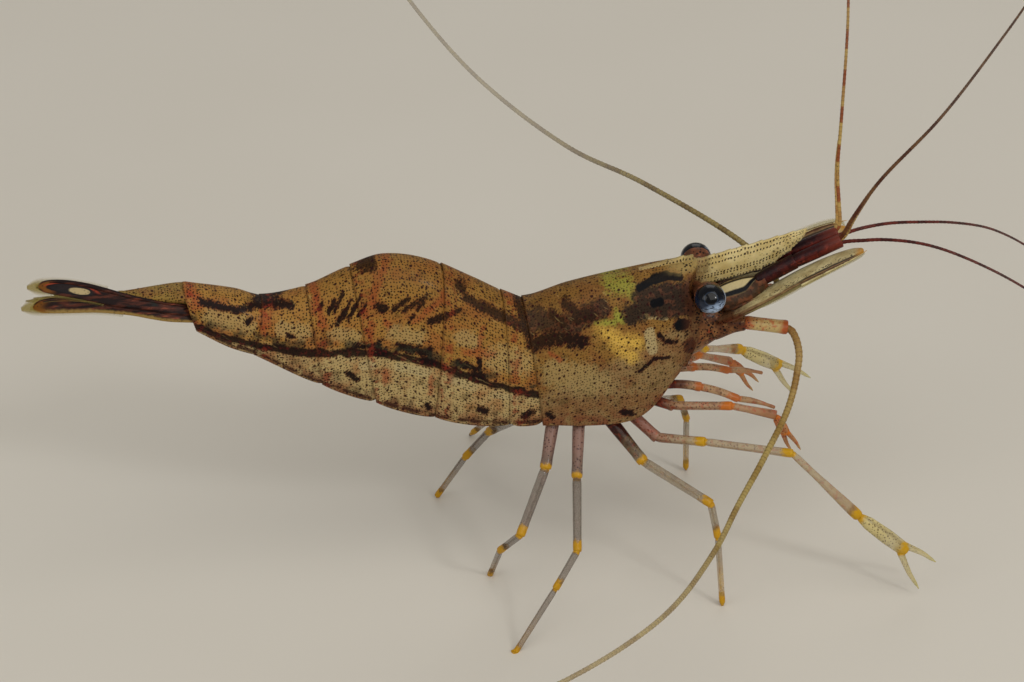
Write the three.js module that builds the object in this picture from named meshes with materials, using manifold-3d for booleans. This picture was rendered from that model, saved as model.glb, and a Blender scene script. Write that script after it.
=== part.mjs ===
// A life-size model of a striped prawn of the family Palaemonidae, standing on its walking legs.
//
// Millimetres. +X points to the head, +Y to the animal's left and +Z up. The origin is the
// middle of the underside of the whole model's box, on the level that the feet stand on.
// Every plate, leg and feeler is a closed solid of its own with a small gap to its neighbours.

import * as THREE from 'three';
import Module from 'manifold-3d';
import { mergeVertices } from 'three/addons/utils/BufferGeometryUtils.js';

const wasm = await Module();
wasm.setup();

// ---------------------------------------------------------------------------------------------
// Driving dimensions
// ---------------------------------------------------------------------------------------------

const gap = 0.3; // clearance between neighbouring plates
const flapThickness = 0.55; // side flaps of the carapace and of the tail plates
const shoulder = 0.58; // height of the widest level, as a share of a section's depth
const hemRounding = 0.05; // how much shorter a flap is at its corners, as a share of its depth
const tuck = 0.14; // how far the lower edge of a flap turns in, as a share of the half-width
const feelerRadius = 0.25;
const feelerRootRadius = 0.28; // of the two long whips
const legRadius = 0.3;
const footRadius = 0.26;
const eyeRadius = 1.0;
const socketGap = 0.2; // between the eye and the cup of its stalk
const eyeCentre = { x: 12.42, y: 2.6, z: 20.23 };

// The middle line of the back, from the end of the tail plates to the brow: x and height.
const backLine = [
  [-20.8, 22.5],
  [-17.7, 21.75],
  [-15.9, 21.1],
  [-12.9, 21.7],
  [-10.2, 22.95],
  [-8.2, 23.5],
  [-5.3, 22.9],
  [-2.4, 21.25],
  [-0.45, 20.1],
  [0.8, 19.6],
  [3.75, 20.4],
  [8.3, 21.3],
  [11.6, 21.85],
];

// The lower edge of the side flaps.
const hemLine = [
  [-20.3, 19.75],
  [-18.3, 18.55],
  [-16.4, 17.7],
  [-12.7, 15.5],
  [-7.6, 13.3],
  [-2.4, 11.75],
  [2.8, 11.25],
  [6.5, 11.15],
  [8.1, 11.5],
  [9.5, 12.6],
  [11.4, 14.5],
];

// The underside of the body, between the flaps.
const bellyLine = [
  [-20.3, 20.1],
  [-16.1, 18.5],
  [-11.4, 17.6],
  [-5.8, 16.4],
  [-0.5, 14.2],
  [2.0, 13.0],
  [5.0, 12.4],
  [8.0, 12.4],
  [9.6, 13.3],
  [11.4, 15.0],
];

// Half of the body's width.
const widthLine = [
  [-20.8, 1.4],
  [-16.0, 1.85],
  [-13.0, 2.15],
  [-9.0, 2.5],
  [-5.0, 2.7],
  [-1.0, 2.65],
  [1.0, 2.55],
  [4.0, 2.75],
  [8.0, 2.75],
  [11.4, 2.2],
];

// Each plate lies between two slanting seams, given by x on the back and x on the hem.
const plates = [
  { name: 'carapace', rear: [0.95, 1.95], front: [11.4, 11.35], rings: 9, flare: 0.02 },
  { name: 'abdomen_1', rear: [-0.4, -0.1], front: [0.65, 1.6], rings: 4, flare: 0.03 },
  { name: 'abdomen_2', rear: [-4.2, -5.0], front: [-0.7, -0.4], rings: 6, flare: 0.05 },
  { name: 'abdomen_3', rear: [-10.1, -8.9], front: [-4.5, -5.3], rings: 7, flare: 0.05 },
  { name: 'abdomen_4', rear: [-12.95, -12.2], front: [-10.4, -9.2], rings: 5, flare: 0.05 },
  { name: 'abdomen_5', rear: [-15.8, -16.4], front: [-13.25, -12.5], rings: 5, flare: 0.05 },
  { name: 'abdomen_6', rear: [-20.75, -20.1], front: [-16.1, -16.7], rings: 6, flare: 0.04 },
];

// ---------------------------------------------------------------------------------------------
// Finishes
// ---------------------------------------------------------------------------------------------

const finishes = {
  shell: { color: 0x8a6a3c, roughness: 0.4, metalness: 0 },
  face: { color: 0x7a5236, roughness: 0.45, metalness: 0 },
  blade: { color: 0xb8a57a, roughness: 0.35, metalness: 0 },
  eye: { color: 0x0e1826, roughness: 0.08, metalness: 0 },
  stalk: { color: 0x5a3a2c, roughness: 0.4, metalness: 0 },
  maroon: { color: 0x4c1c18, roughness: 0.4, metalness: 0 },
  feeler: { color: 0xa08458, roughness: 0.4, metalness: 0 },
  leg: { color: 0xb7a68c, roughness: 0.25, metalness: 0 },
  claw: { color: 0xb9ac62, roughness: 0.3, metalness: 0 },
  fan: { color: 0x6b3a30, roughness: 0.35, metalness: 0 },
  paddle: { color: 0xa08870, roughness: 0.4, metalness: 0 },
};

// ---------------------------------------------------------------------------------------------
// Shape helpers
// ---------------------------------------------------------------------------------------------

const point = (x, y, z) => new THREE.Vector3(x, y, z);
const radians = THREE.MathUtils.degToRad;

/** Height on a smooth curve through [x, value] pairs whose x rises: a Hermite blend. */
function along(table, x) {
  const last = table.length - 1;
  let i = 0;
  while (i < last - 1 && x > table[i + 1][0]) i += 1;
  const slope = (k) => {
    const a = Math.max(k - 1, 0);
    const b = Math.min(k + 1, last);
    return (table[b][1] - table[a][1]) / (table[b][0] - table[a][0]);
  };
  const run = table[i + 1][0] - table[i][0];
  const t = THREE.MathUtils.clamp((x - table[i][0]) / run, 0, 1);
  const rise = t * t * (3 - 2 * t);
  const start = t * (1 - t) * (1 - t) * run * slope(i);
  const end = t * t * (t - 1) * run * slope(i + 1);
  return table[i][1] * (1 - rise) + table[i + 1][1] * rise + start + end;
}

/** One closed geometry from equal rings of points, with both ends covered. */
function skinOver(rings, capFaces) {
  const count = rings[0].length;
  const positions = rings.flat().flatMap((p) => [p.x, p.y, p.z]);
  const faces = [];
  for (let r = 0; r < rings.length - 1; r += 1) {
    for (let i = 0; i < count; i += 1) {
      const a = r * count + i;
      const b = r * count + ((i + 1) % count);
      faces.push([a, b, a + count], [b, b + count, a + count]);
    }
  }
  const top = (rings.length - 1) * count;
  for (const [a, b, c] of capFaces) {
    faces.push([b, a, c], [a + top, b + top, c + top]);
  }
  let volume = 0;
  for (const [a, b, c] of faces) {
    const p = [a, b, c].map((k) => point(...positions.slice(3 * k, 3 * k + 3)));
    volume += p[0].dot(p[1].cross(p[2]));
  }
  const outward = volume > 0 ? faces : faces.map(([a, b, c]) => [b, a, c]);
  const geometry = new THREE.BufferGeometry();
  geometry.setAttribute('position', new THREE.Float32BufferAttribute(positions, 3));
  geometry.setIndex(outward.flat());
  return geometry;
}

/** Triangles that cover a convex ring. */
function fan(count) {
  return Array.from({ length: count - 2 }, (_, i) => [0, i + 1, i + 2]);
}

/** A flattened tube through stations { at, wide, high }, with its broad side along `across`. */
function tube(stations, sides, across = point(0, 1, 0)) {
  const rings = stations.map((station, i) => {
    const before = stations[Math.max(i - 1, 0)].at;
    const after = stations[Math.min(i + 1, stations.length - 1)].at;
    const forward = after.clone().sub(before).normalize();
    const broad = across.clone().addScaledVector(forward, -across.dot(forward)).normalize();
    const thin = forward.clone().cross(broad);
    return Array.from({ length: sides }, (_, k) => {
      const angle = (2 * Math.PI * (k + 0.5)) / sides;
      return station.at
        .clone()
        .addScaledVector(broad, station.wide * Math.cos(angle))
        .addScaledVector(thin, station.high * Math.sin(angle));
    });
  });
  return skinOver(rings, fan(sides));
}

/** A round tube whose rings follow the route without twisting, for strongly bent limbs. */
function roundTube(places, radii, sides) {
  let broad = null;
  const rings = places.map((place, i) => {
    const before = places[Math.max(i - 1, 0)];
    const after = places[Math.min(i + 1, places.length - 1)];
    const forward = after.clone().sub(before).normalize();
    const guess = broad || (Math.abs(forward.z) < 0.8 ? point(0, 0, 1) : point(1, 0, 0));
    broad = guess.clone().addScaledVector(forward, -guess.dot(forward)).normalize();
    const thin = forward.clone().cross(broad);
    return Array.from({ length: sides }, (_, k) => {
      const angle = (2 * Math.PI * (k + 0.5)) / sides;
      return place
        .clone()
        .addScaledVector(broad, radii[i] * Math.cos(angle))
        .addScaledVector(thin, radii[i] * Math.sin(angle));
    });
  });
  return skinOver(rings, fan(sides));
}

/** A manifold solid from a geometry, and back, for joins and cuts. */
function toSolid(geometry) {
  const bare = geometry.clone();
  bare.deleteAttribute('normal');
  bare.deleteAttribute('uv');
  const merged = mergeVertices(bare, 1e-5);
  return new wasm.Manifold(
    new wasm.Mesh({
      numProp: 3,
      vertProperties: new Float32Array(merged.attributes.position.array),
      triVerts: new Uint32Array(merged.index.array),
    }),
  );
}

function toGeometry(solid) {
  const mesh = solid.getMesh();
  const geometry = new THREE.BufferGeometry();
  geometry.setAttribute('position', new THREE.Float32BufferAttribute(mesh.vertProperties, 3));
  geometry.setIndex([...mesh.triVerts]);
  return geometry;
}

function ball(centre, radius, around, up) {
  return new THREE.SphereGeometry(radius, around, up).translate(centre.x, centre.y, centre.z);
}

const body = new THREE.Group();

/** Adds one named piece with its own finish to the model. */
function add(name, geometry, finish) {
  const mesh = new THREE.Mesh(geometry, new THREE.MeshStandardMaterial(finishes[finish]));
  mesh.name = name;
  body.add(mesh);
}

// ---------------------------------------------------------------------------------------------
// Carapace and tail plates: arched roofs with side flaps that hang past the belly
// ---------------------------------------------------------------------------------------------

/** Outer half-width at a share of the depth, for a section whose half-width is 1. */
function arch(share) {
  if (share < shoulder) {
    const rise = 1 - share / shoulder;
    return Math.sqrt(1 - rise * rise) ** 0.92;
  }
  const low = (share - shoulder) / (1 - shoulder);
  return 1 - tuck * low * low;
}

const roofShares = [0.014, 0.06, 0.15, 0.29, 0.44, 0.6, 0.8, 1.0];

/** The outline of one slanting section, as [y, share of depth] pairs from the top round. */
function sectionOutline(halfWidth, depth, belly, hem) {
  const outer = roofShares.map((share) => [halfWidth * arch(share), share * hem]);
  const inside = (share) => halfWidth * arch(share) - flapThickness;
  const middle = (belly + hem) / 2;
  const inner = [
    [inside(1), hem],
    [inside(middle), middle],
    [inside(belly), belly],
  ];
  const side = [...outer, ...inner];
  const mirrored = side.map(([y, share]) => [-y, share]).reverse();
  return [[0, 0], ...side, [0, belly], ...mirrored];
}

/** One ring of a plate: where it stands between its rear seam (0) and its front seam (1). */
function plateRing(plate, step) {
  const xTop = THREE.MathUtils.lerp(plate.rear[0], plate.front[0], step);
  const xHem = THREE.MathUtils.lerp(plate.rear[1], plate.front[1], step);
  const top = point(xTop, 0, along(backLine, xTop));
  const low = point(xHem, 0, along(hemLine, xHem));
  const down = low.clone().sub(top);
  const depth = down.length();
  let belly = 0.7;
  for (let i = 0; i < 6; i += 1) {
    const x = top.x + down.x * belly;
    belly = (top.z - along(bellyLine, x)) / -down.z;
  }
  const hem = 1 - hemRounding * Math.abs(2 * step - 1) ** 5;
  belly = Math.min(belly, hem - gap / depth);
  const grow = 1 - plate.flare * step;
  const halfWidth = along(widthLine, (xTop + xHem) / 2) * grow;
  const centre = top.clone().addScaledVector(down, 0.5);
  return sectionOutline(halfWidth, depth, belly, hem).map(([y, share]) =>
    centre.clone().add(point(0, y, 0)).addScaledVector(down, (share - 0.5) * grow),
  );
}

/** Triangles that cover a plate's end, wound as its outline is, which is not convex. */
function plateCap(plate, step) {
  const outline = plateRing(plate, step).map((p) => new THREE.Vector2(p.y, p.z));
  const turns = Math.sign(THREE.ShapeUtils.area(outline));
  return THREE.ShapeUtils.triangulateShape(outline, []).map(([a, b, c]) => {
    const same = Math.sign(THREE.ShapeUtils.area([outline[a], outline[b], outline[c]])) === turns;
    return same ? [a, b, c] : [b, a, c];
  });
}

const orbit = (side) => ball({ ...eyeCentre, y: side * eyeCentre.y }, eyeRadius + gap, 14, 10);

for (const plate of plates) {
  const steps = Array.from({ length: plate.rings }, (_, i) => i / (plate.rings - 1));
  const geometry = skinOver(steps.map((step) => plateRing(plate, step)), plateCap(plate, 0));
  if (plate.name === 'carapace') {
    const notched = toSolid(geometry).subtract(toSolid(orbit(1))).subtract(toSolid(orbit(-1)));
    add(plate.name, toGeometry(notched), 'shell');
  } else {
    add(plate.name, geometry, 'shell');
  }
}

// ---------------------------------------------------------------------------------------------
// Rostrum: the toothed blade between the eyes
// ---------------------------------------------------------------------------------------------

const rostrum = {
  thickness: 0.64,
  top: [
    [11.75, 21.55],
    [19.1, 23.4],
  ],
  under: [
    [18.7, 22.5],
    [17.0, 21.0],
    [15.2, 20.1],
    [13.4, 20.05],
    [11.75, 20.3],
  ],
  upperTeeth: 8,
  toothHeight: 0.2,
  toothBack: 0.85, // share of a tooth's pitch that its long rear edge takes
  smoothTip: 0.9, // length without teeth
};

{
  const [root, tip] = rostrum.top;
  const shape = new THREE.Shape();
  shape.moveTo(...root);
  const slope = (tip[1] - root[1]) / (tip[0] - root[0]);
  const pitch = (tip[0] - rostrum.smoothTip - root[0]) / rostrum.upperTeeth;
  const front = (1 - rostrum.toothBack) * pitch;
  for (let i = 0; i < rostrum.upperTeeth; i += 1) {
    const x = root[0] + (i + rostrum.toothBack) * pitch;
    const z = root[1] + slope * (x - root[0]);
    shape.lineTo(x, z + rostrum.toothHeight);
    shape.lineTo(x + front, z + slope * front);
  }
  shape.lineTo(...tip);
  for (const place of rostrum.under) shape.lineTo(...place);
  shape.closePath();
  const blade = new THREE.ExtrudeGeometry(shape, { depth: rostrum.thickness, bevelEnabled: false });
  blade.translate(0, 0, -rostrum.thickness / 2);
  blade.rotateX(Math.PI / 2);
  add('rostrum', toGeometry(toSolid(blade)), 'blade');
}

// ---------------------------------------------------------------------------------------------
// Face: the block under the brow that carries eyes, feelers and mouth
// ---------------------------------------------------------------------------------------------

const faceStations = [
  { x: 11.7, low: 15.0, high: 19.3, wide: 1.85 },
  { x: 12.2, low: 15.7, high: 19.2, wide: 1.85 },
  { x: 12.7, low: 16.2, high: 18.9, wide: 1.7 },
  { x: 13.05, low: 16.6, high: 18.6, wide: 1.5 },
];

/** An upright oval ring across the body. */
function uprightRing({ x, low, high, wide }, sides) {
  return Array.from({ length: sides }, (_, k) => {
    const angle = (2 * Math.PI * (k + 0.5)) / sides;
    const z = (low + high) / 2 + ((high - low) / 2) * Math.sin(angle);
    return point(x, wide * Math.cos(angle), z);
  });
}

const faceSides = 14;
add(
  'head',
  skinOver(faceStations.map((station) => uprightRing(station, faceSides)), fan(faceSides)),
  'face',
);

// ---------------------------------------------------------------------------------------------
// Paired pieces of the head. side is 1 on the left and -1 on the right.
// ---------------------------------------------------------------------------------------------

const sideName = { 1: 'left', '-1': 'right' };

/** The same places on either side of the body's middle plane. */
const mirror = (places, side) => places.map(([x, y, z]) => point(x, side * y, z));

/** A feeler: a thin tube of even steps along a smooth curve through a few places. */
function feeler(places, steps, startRadius, endRadius) {
  const curve = new THREE.CatmullRomCurve3(places, false, 'centripetal');
  const stops = curve.getSpacedPoints(steps);
  const radii = stops.map((_, i) => THREE.MathUtils.lerp(startRadius, endRadius, i / steps));
  return roundTube(stops, radii, 6);
}

const hollowLean = 0.7; // rise of the flat part towards the midline, per unit of width

// The right scale points up a little more than the left one, whose tip hangs lower.
const scaleLines = {
  right: [
    { at: point(13.2, -1.75, 17.95), wide: 0.5 },
    { at: point(14.2, -2.0, 18.62), wide: 1.0 },
    { at: point(16.0, -2.05, 19.62), wide: 1.22 },
    { at: point(18.0, -2.05, 20.68), wide: 1.22 },
    { at: point(20.3, -2.12, 21.85), wide: 1.02 },
    { at: point(21.7, -2.35, 22.52), wide: 0.68 },
    { at: point(22.5, -2.6, 22.95), wide: 0.28 },
  ],
  left: [
    { at: point(13.2, 1.75, 17.95), wide: 0.5 },
    { at: point(14.2, 2.0, 18.48), wide: 1.0 },
    { at: point(16.0, 2.1, 19.22), wide: 1.22 },
    { at: point(18.0, 2.12, 19.98), wide: 1.22 },
    { at: point(20.3, 2.18, 20.92), wide: 1.02 },
    { at: point(21.7, 2.35, 21.55), wide: 0.68 },
    { at: point(22.5, 2.55, 21.95), wide: 0.28 },
  ],
};
const scaleHigh = 0.26;
const scaleLean = 0.22; // rise of the scale towards its outer edge, per unit of width

for (const side of [1, -1]) {
  const label = sideName[side];
  const centre = point(eyeCentre.x, side * eyeCentre.y, eyeCentre.z);
  add(`eye_${label}`, ball(centre, eyeRadius, 16, 11), 'eye');

  // The stalk widens from beside the blade to a cup behind the eye.
  const stalk = tube(
    [
      { at: point(12.0, side * 0.55, 19.9), wide: 0.5, high: 0.45 },
      { at: point(12.1, side * 1.1, 20.0), wide: 0.55, high: 0.5 },
      { at: point(12.3, side * 1.65, 20.1), wide: 0.72, high: 0.68 },
      { at: point(12.38, side * 2.15, 20.17), wide: 0.86, high: 0.82 },
    ],
    10,
    point(1, 0, 0),
  );
  const socket = toSolid(ball(centre, eyeRadius + socketGap, 16, 12));
  add(`eyestalk_${label}`, toGeometry(toSolid(stalk).subtract(socket)), 'stalk');

  // First feeler's three-jointed base: flat under the eye, then a stout rod. The flat part leans
  // outwards, so that the eye rests against it.
  add(
    `antennule_base_${label}`,
    tube(
      [
        { at: point(13.0, side * 1.2, 19.25), wide: 0.62, high: 0.36 },
        { at: point(14.6, side * 1.15, 19.75), wide: 0.8, high: 0.4 },
        { at: point(16.0, side * 1.02, 20.35), wide: 0.64, high: 0.56 },
        { at: point(18.0, side * 0.84, 21.4), wide: 0.54, high: 0.54 },
        { at: point(19.8, side * 0.7, 22.1), wide: 0.48, high: 0.48 },
        { at: point(21.2, side * 0.6, 22.68), wide: 0.44, high: 0.44 },
      ],
      10,
      point(0, -side, hollowLean),
    ),
    'maroon',
  );

  // Antennal scale: a long thin leaf whose outer edge lies a little higher than its inner one.
  add(
    `antenna_scale_${label}`,
    tube(
      scaleLines[label].map((station) => ({ ...station, high: scaleHigh })),
      10,
      point(0, side, scaleLean),
    ),
    'blade',
  );

  // Second feeler's base: stout, below the scale.
  add(
    `antenna_base_${label}`,
    tube(
      [
        { at: point(13.3, side * 1.45, 17.0), wide: 0.6, high: 0.55 },
        { at: point(14.6, side * 1.7, 17.5), wide: 0.5, high: 0.44 },
        { at: point(16.2, side * 2.02, 17.68), wide: 0.4, high: 0.4 },
        { at: point(17.5, side * 2.3, 17.45), wide: 0.38, high: 0.38 },
      ],
      8,
    ),
    'leg',
  );
}

// Long whips of the second feelers. The right one drops in front and swings back beside the
// body, and the left one rises behind the brow and sweeps back and up.
const whips = {
  right: [
    [17.85, -2.5, 17.25],
    [18.1, -3.6, 16.6],
    [17.2, -6.0, 14.3],
    [14.8, -10.0, 12.9],
    [12.3, -14.0, 12.0],
    [9.9, -18.5, 11.7],
    [4.8, -26.5, 12.6],
    [-3.0, -31.5, 12.0],
    [-14.0, -32.5, 9.5],
    [-25.0, -30.0, 7.5],
  ],
  left: [
    [17.9, 2.6, 17.5],
    [17.75, 3.35, 18.2],
    [15.9, 4.5, 19.9],
    [10.0, 10.0, 21.9],
    [5.8, 14.0, 22.6],
    [0.0, 19.0, 26.0],
    [-5.0, 23.5, 31.5],
    [-9.5, 26.5, 38.5],
  ],
};

const whipSteps = { right: 40, left: 32 };

for (const [label, places] of Object.entries(whips)) {
  const route = places.map((place) => point(...place));
  const geometry = feeler(route, whipSteps[label], feelerRootRadius, feelerRadius);
  add(`antenna_whip_${label}`, geometry, 'feeler');
}

// Whips of the first feelers: a long outer one with a short one beside it, and an inner one.
const antennuleWhips = {
  outer_right: [
    [21.36, -0.62, 23.1],
    [21.8, -1.3, 24.7],
    [23.1, -2.5, 27.95],
    [26.0, -5.0, 33.5],
    [28.45, -10.0, 42.0],
    [29.3, -13.5, 47.0],
  ],
  short_right: [
    [21.8, -1.15, 23.1],
    [22.35, -1.85, 24.6],
    [23.2, -2.95, 27.0],
  ],
  inner_right: [
    [21.65, -0.52, 22.48],
    [22.5, -0.9, 22.7],
    [23.9, -1.5, 23.0],
    [26.1, -2.5, 23.1],
    [28.3, -3.6, 22.7],
    [31.9, -6.0, 21.5],
    [35.5, -8.4, 19.2],
    [38.5, -10.3, 15.8],
  ],
  outer_left: [
    [21.36, 0.62, 23.08],
    [21.4, 1.1, 24.2],
    [21.4, 2.0, 26.3],
    [21.6, 2.5, 29.6],
    [21.9, 3.5, 37.8],
    [21.6, 5.0, 44.5],
    [20.6, 6.8, 50.0],
  ],
  short_left: [
    [21.0, 1.35, 23.2],
    [21.0, 2.2, 25.0],
    [20.95, 2.95, 26.9],
    [20.95, 3.4, 29.3],
  ],
  inner_left: [
    [21.65, 0.52, 22.45],
    [22.6, 0.85, 22.5],
    [24.6, 1.4, 22.45],
    [27.3, 2.2, 21.9],
    [29.9, 3.0, 21.15],
    [32.7, 4.0, 19.8],
    [36.5, 5.3, 16.6],
    [39.2, 6.3, 12.6],
  ],
};

for (const [label, places] of Object.entries(antennuleWhips)) {
  const route = places.map((place) => point(...place));
  const steps = label.startsWith('short') ? 6 : 20;
  add(`antennule_${label}`, feeler(route, steps, feelerRadius, feelerRadius), 'maroon');
}

// ---------------------------------------------------------------------------------------------
// Limbs: a chain of segments { length, turn, pitch, radius }. turn is the heading in degrees
// from straight ahead towards the animal's own side, and pitch is above the horizontal.
// ---------------------------------------------------------------------------------------------

/** The joints of a limb, from its root to its tip. */
function joints(root, segments, side) {
  const places = [point(root[0], side * root[1], root[2])];
  for (const [length, turn, pitch] of segments) {
    const heading = radians(turn);
    const rise = radians(pitch);
    const step = point(
      Math.cos(heading) * Math.cos(rise),
      side * Math.sin(heading) * Math.cos(rise),
      Math.sin(rise),
    );
    places.push(places.at(-1).clone().addScaledVector(step, length));
  }
  return places;
}

/** A jointed limb: each segment is a little waisted and swells again at its far joint. */
function limb(places, radii, sides = 6) {
  const stops = [places[0]];
  const girths = [radii[0]];
  for (let i = 0; i < places.length - 1; i += 1) {
    const share = (t) => places[i].clone().lerp(places[i + 1], t);
    const girth = (t) => THREE.MathUtils.lerp(radii[i], radii[i + 1], t);
    stops.push(share(0.2), share(0.85), places[i + 1]);
    girths.push(0.92 * girth(0.2), girth(0.85), girth(1));
  }
  return roundTube(stops, girths, sides);
}

/** Everything of a solid that lies above the level of the floor. */
const aboveFloor = toSolid(new THREE.BoxGeometry(120, 120, 60).translate(0, 0, 30));

// Walking legs: root, then the segments from the hip to the dactyl, which ends on the floor.
const walkingLegs = {
  leg_3_right: {
    root: [5.95, 1.1, 11.1],
    segments: [[4.0, 48, -36], [5.3, 39, -17], [2.35, 56, -72], [4.8, 70, -80], [0.9, 85, -66]],
  },
  leg_3_left: {
    root: [5.95, 1.1, 11.1],
    segments: [[4.0, 46, -34], [5.3, 34, -21], [2.3, 50, -66], [4.6, 75, -80], [0.9, 70, -66]],
  },
  leg_4_right: {
    root: [4.25, 1.1, 11.0],
    segments: [[4.0, 101, -44], [5.1, 98, -35], [2.8, 146, -48], [5.1, 144, -42], [1.2, 126, -44]],
  },
  leg_4_left: {
    root: [4.25, 1.1, 11.0],
    segments: [[4.1, 98, -32], [5.6, 106, -26], [2.9, 125, -45], [5.2, 125, -48], [1.2, 125, -50]],
  },
  leg_5_right: {
    root: [2.6, 1.1, 11.3],
    segments: [[3.5, 112, -50], [4.7, 127, -44], [2.6, -132, -49], [4.0, -101, -58], [0.9, -100, -66]],
  },
  leg_5_left: {
    root: [2.6, 1.1, 11.3],
    segments: [[3.5, 118, -48], [4.7, 128, -40], [2.6, 172, -52], [4.0, 160, -60], [1.2, 158, -66]],
  },
};

const cutDepth = 0.2; // how far a foot would reach under the floor
const walkingRadii = [0.5, 0.38, 0.32, legRadius, footRadius, footRadius];

for (const [name, leg] of Object.entries(walkingLegs)) {
  const side = name.endsWith('left') ? 1 : -1;
  const places = joints(leg.root, leg.segments, side);
  // The last segment is lengthened until its end lies just under the floor, and is cut there.
  const ankle = places.at(-2);
  const toe = places.at(-1);
  const reach = (ankle.z + cutDepth) / (ankle.z - toe.z);
  toe.sub(ankle).multiplyScalar(reach).add(ankle);
  const solid = toSolid(limb(places, walkingRadii)).intersect(aboveFloor);
  add(name, toGeometry(solid), 'leg');
}

// Clawed legs: the arm is one piece, and the palm with its two fingers is another.
const clawedLegs = {
  leg_1_right: {
    root: [8.85, 1.0, 11.95],
    segments: [[1.7, 36, -2], [4.2, 31, 14], [2.9, 20, -6]],
    radii: [0.45, 0.36, 0.3, 0.34],
    palm: { length: 1.5, turn: 20, pitch: -62, radius: 0.4 },
    fingers: [[1.7, 12, -50], [1.7, -16, -72]],
  },
  leg_1_left: {
    root: [8.85, 1.0, 11.95],
    segments: [[1.7, 45, -4], [4.2, 40, -8], [2.9, 24, -28]],
    radii: [0.45, 0.36, 0.3, 0.34],
    palm: { length: 1.5, turn: 14, pitch: -48, radius: 0.4 },
    fingers: [[1.7, 12, -40], [1.7, -16, -62]],
  },
  leg_2_right: {
    root: [7.45, 1.05, 11.15],
    segments: [[2.6, 40, -30], [3.3, 30, 8], [5.8, 23, 1], [6.4, 13, -46]],
    radii: [0.5, 0.42, 0.36, 0.34, 0.42],
    palm: { length: 4.1, turn: 14, pitch: -38, radius: 0.52 },
    fingers: [[2.6, 5, -27], [3.2, 34, -66]],
  },
  leg_2_left: {
    root: [7.45, 1.05, 11.15],
    segments: [[2.6, 48, -28], [4.2, 57, -5], [4.4, 42, -8], [3.9, 36, -24]],
    radii: [0.5, 0.42, 0.36, 0.34, 0.42],
    palm: { length: 3.7, turn: 14, pitch: -34, radius: 0.52 },
    fingers: [[3.1, 10, -31], [2.9, -4, -62]],
  },
};

const wristGap = 0.4; // between the arm's rounded end and the palm
const fingerRadius = 0.25; // at its tip

/** A palm and two fingers, as one solid. */
function claw(wrist, palm, fingers, side) {
  const [start, end] = joints([0, 0, 0], [[palm.length, palm.turn, palm.pitch]], side);
  const length = end.clone().sub(start);
  const base = wrist.clone().addScaledVector(length.clone().normalize(), wristGap);
  const at = (share) => base.clone().addScaledVector(length, share);
  const r = palm.radius;
  let solid = toSolid(
    roundTube([at(0), at(0.2), at(0.6), at(1)], [0.75 * r, r, 1.05 * r, 0.9 * r], 8),
  );
  for (const segment of fingers) {
    const root = at(0.9);
    const [, tip] = joints([0, 0, 0], [segment], side);
    const place = (share) => root.clone().addScaledVector(tip, share);
    const radii = [0.62 * r, 0.6 * r, fingerRadius, fingerRadius];
    solid = solid.add(toSolid(roundTube([place(0), place(0.4), place(0.8), place(1)], radii, 6)));
  }
  return toGeometry(solid);
}

for (const [name, leg] of Object.entries(clawedLegs)) {
  const side = name.endsWith('left') ? 1 : -1;
  const places = joints(leg.root, leg.segments, side);
  add(name, limb(places, leg.radii), 'leg');
  add(name.replace('leg', 'claw'), claw(places.at(-1), leg.palm, leg.fingers, side), 'claw');
}

// Outer mouth limbs: they reach forward between the first legs.
for (const side of [1, -1]) {
  const segments = [[2.3, 12, -2], [2.6, 12, -18], [2.5, 9, -15]];
  const places = joints([9.95, 0.75, 12.75], segments, side);
  add(`maxilliped_${sideName[side]}`, limb(places, [0.34, 0.32, 0.28, 0.25]), 'leg');
}

// ---------------------------------------------------------------------------------------------
// Swimming paddles, folded forward between the flaps
// ---------------------------------------------------------------------------------------------

const paddles = [
  { x: -1.3, reach: 2.9, y: 0.95, wide: 0.55 },
  { x: -4.4, reach: 4.4, y: 0.95, wide: 0.6 },
  { x: -8.4, reach: 5.0, y: 0.9, wide: 0.55 },
  { x: -12.0, reach: 4.6, y: 0.75, wide: 0.45 },
  { x: -15.2, reach: 3.1, y: 0.6, wide: 0.34 },
];

const paddleHigh = 0.27;
const paddleRootDrop = 0.55; // below the belly
const paddleTipDrop = 0.35; // below the hem

paddles.forEach(({ x, reach, y, wide }, index) => {
  const rootZ = along(bellyLine, x) - paddleRootDrop;
  const tipZ = along(hemLine, x + reach) - paddleTipDrop;
  const kneeZ = THREE.MathUtils.lerp(rootZ, tipZ, 0.35);
  const level = (share) => THREE.MathUtils.lerp(kneeZ, tipZ, share);
  for (const side of [1, -1]) {
    const place = (dx, z) => point(x + dx, side * y, z);
    const geometry = tube(
      [
        { at: place(0, rootZ), wide: 0.6 * wide, high: paddleHigh },
        { at: place(0.55, kneeZ), wide: 0.85 * wide, high: paddleHigh },
        { at: place(0.5 * reach, level(0.45)), wide, high: paddleHigh },
        { at: place(0.85 * reach, level(0.86)), wide: 0.8 * wide, high: paddleHigh },
        { at: place(reach, tipZ), wide: 0.4 * wide, high: paddleHigh },
      ],
      8,
    );
    add(`pleopod_${index + 1}_${sideName[side]}`, geometry, 'paddle');
  }
});

// ---------------------------------------------------------------------------------------------
// Tail fan: the telson in the middle and two blades on each side, like two roofs folded down.
// The fan is rolled a little, with its right blades high behind the telson and its left ones low.
// ---------------------------------------------------------------------------------------------

add(
  'telson',
  tube(
    [
      { at: point(-20.95, 0, 21.95), wide: 0.9, high: 0.42 },
      { at: point(-22.0, 0, 21.98), wide: 0.78, high: 0.34 },
      { at: point(-24.3, 0, 22.0), wide: 0.5, high: 0.3 },
      { at: point(-25.7, 0, 22.0), wide: 0.34, high: 0.27 },
      { at: point(-26.5, 0, 22.02), wide: 0.25, high: 0.25 },
    ],
    10,
  ),
  'shell',
);

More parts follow.
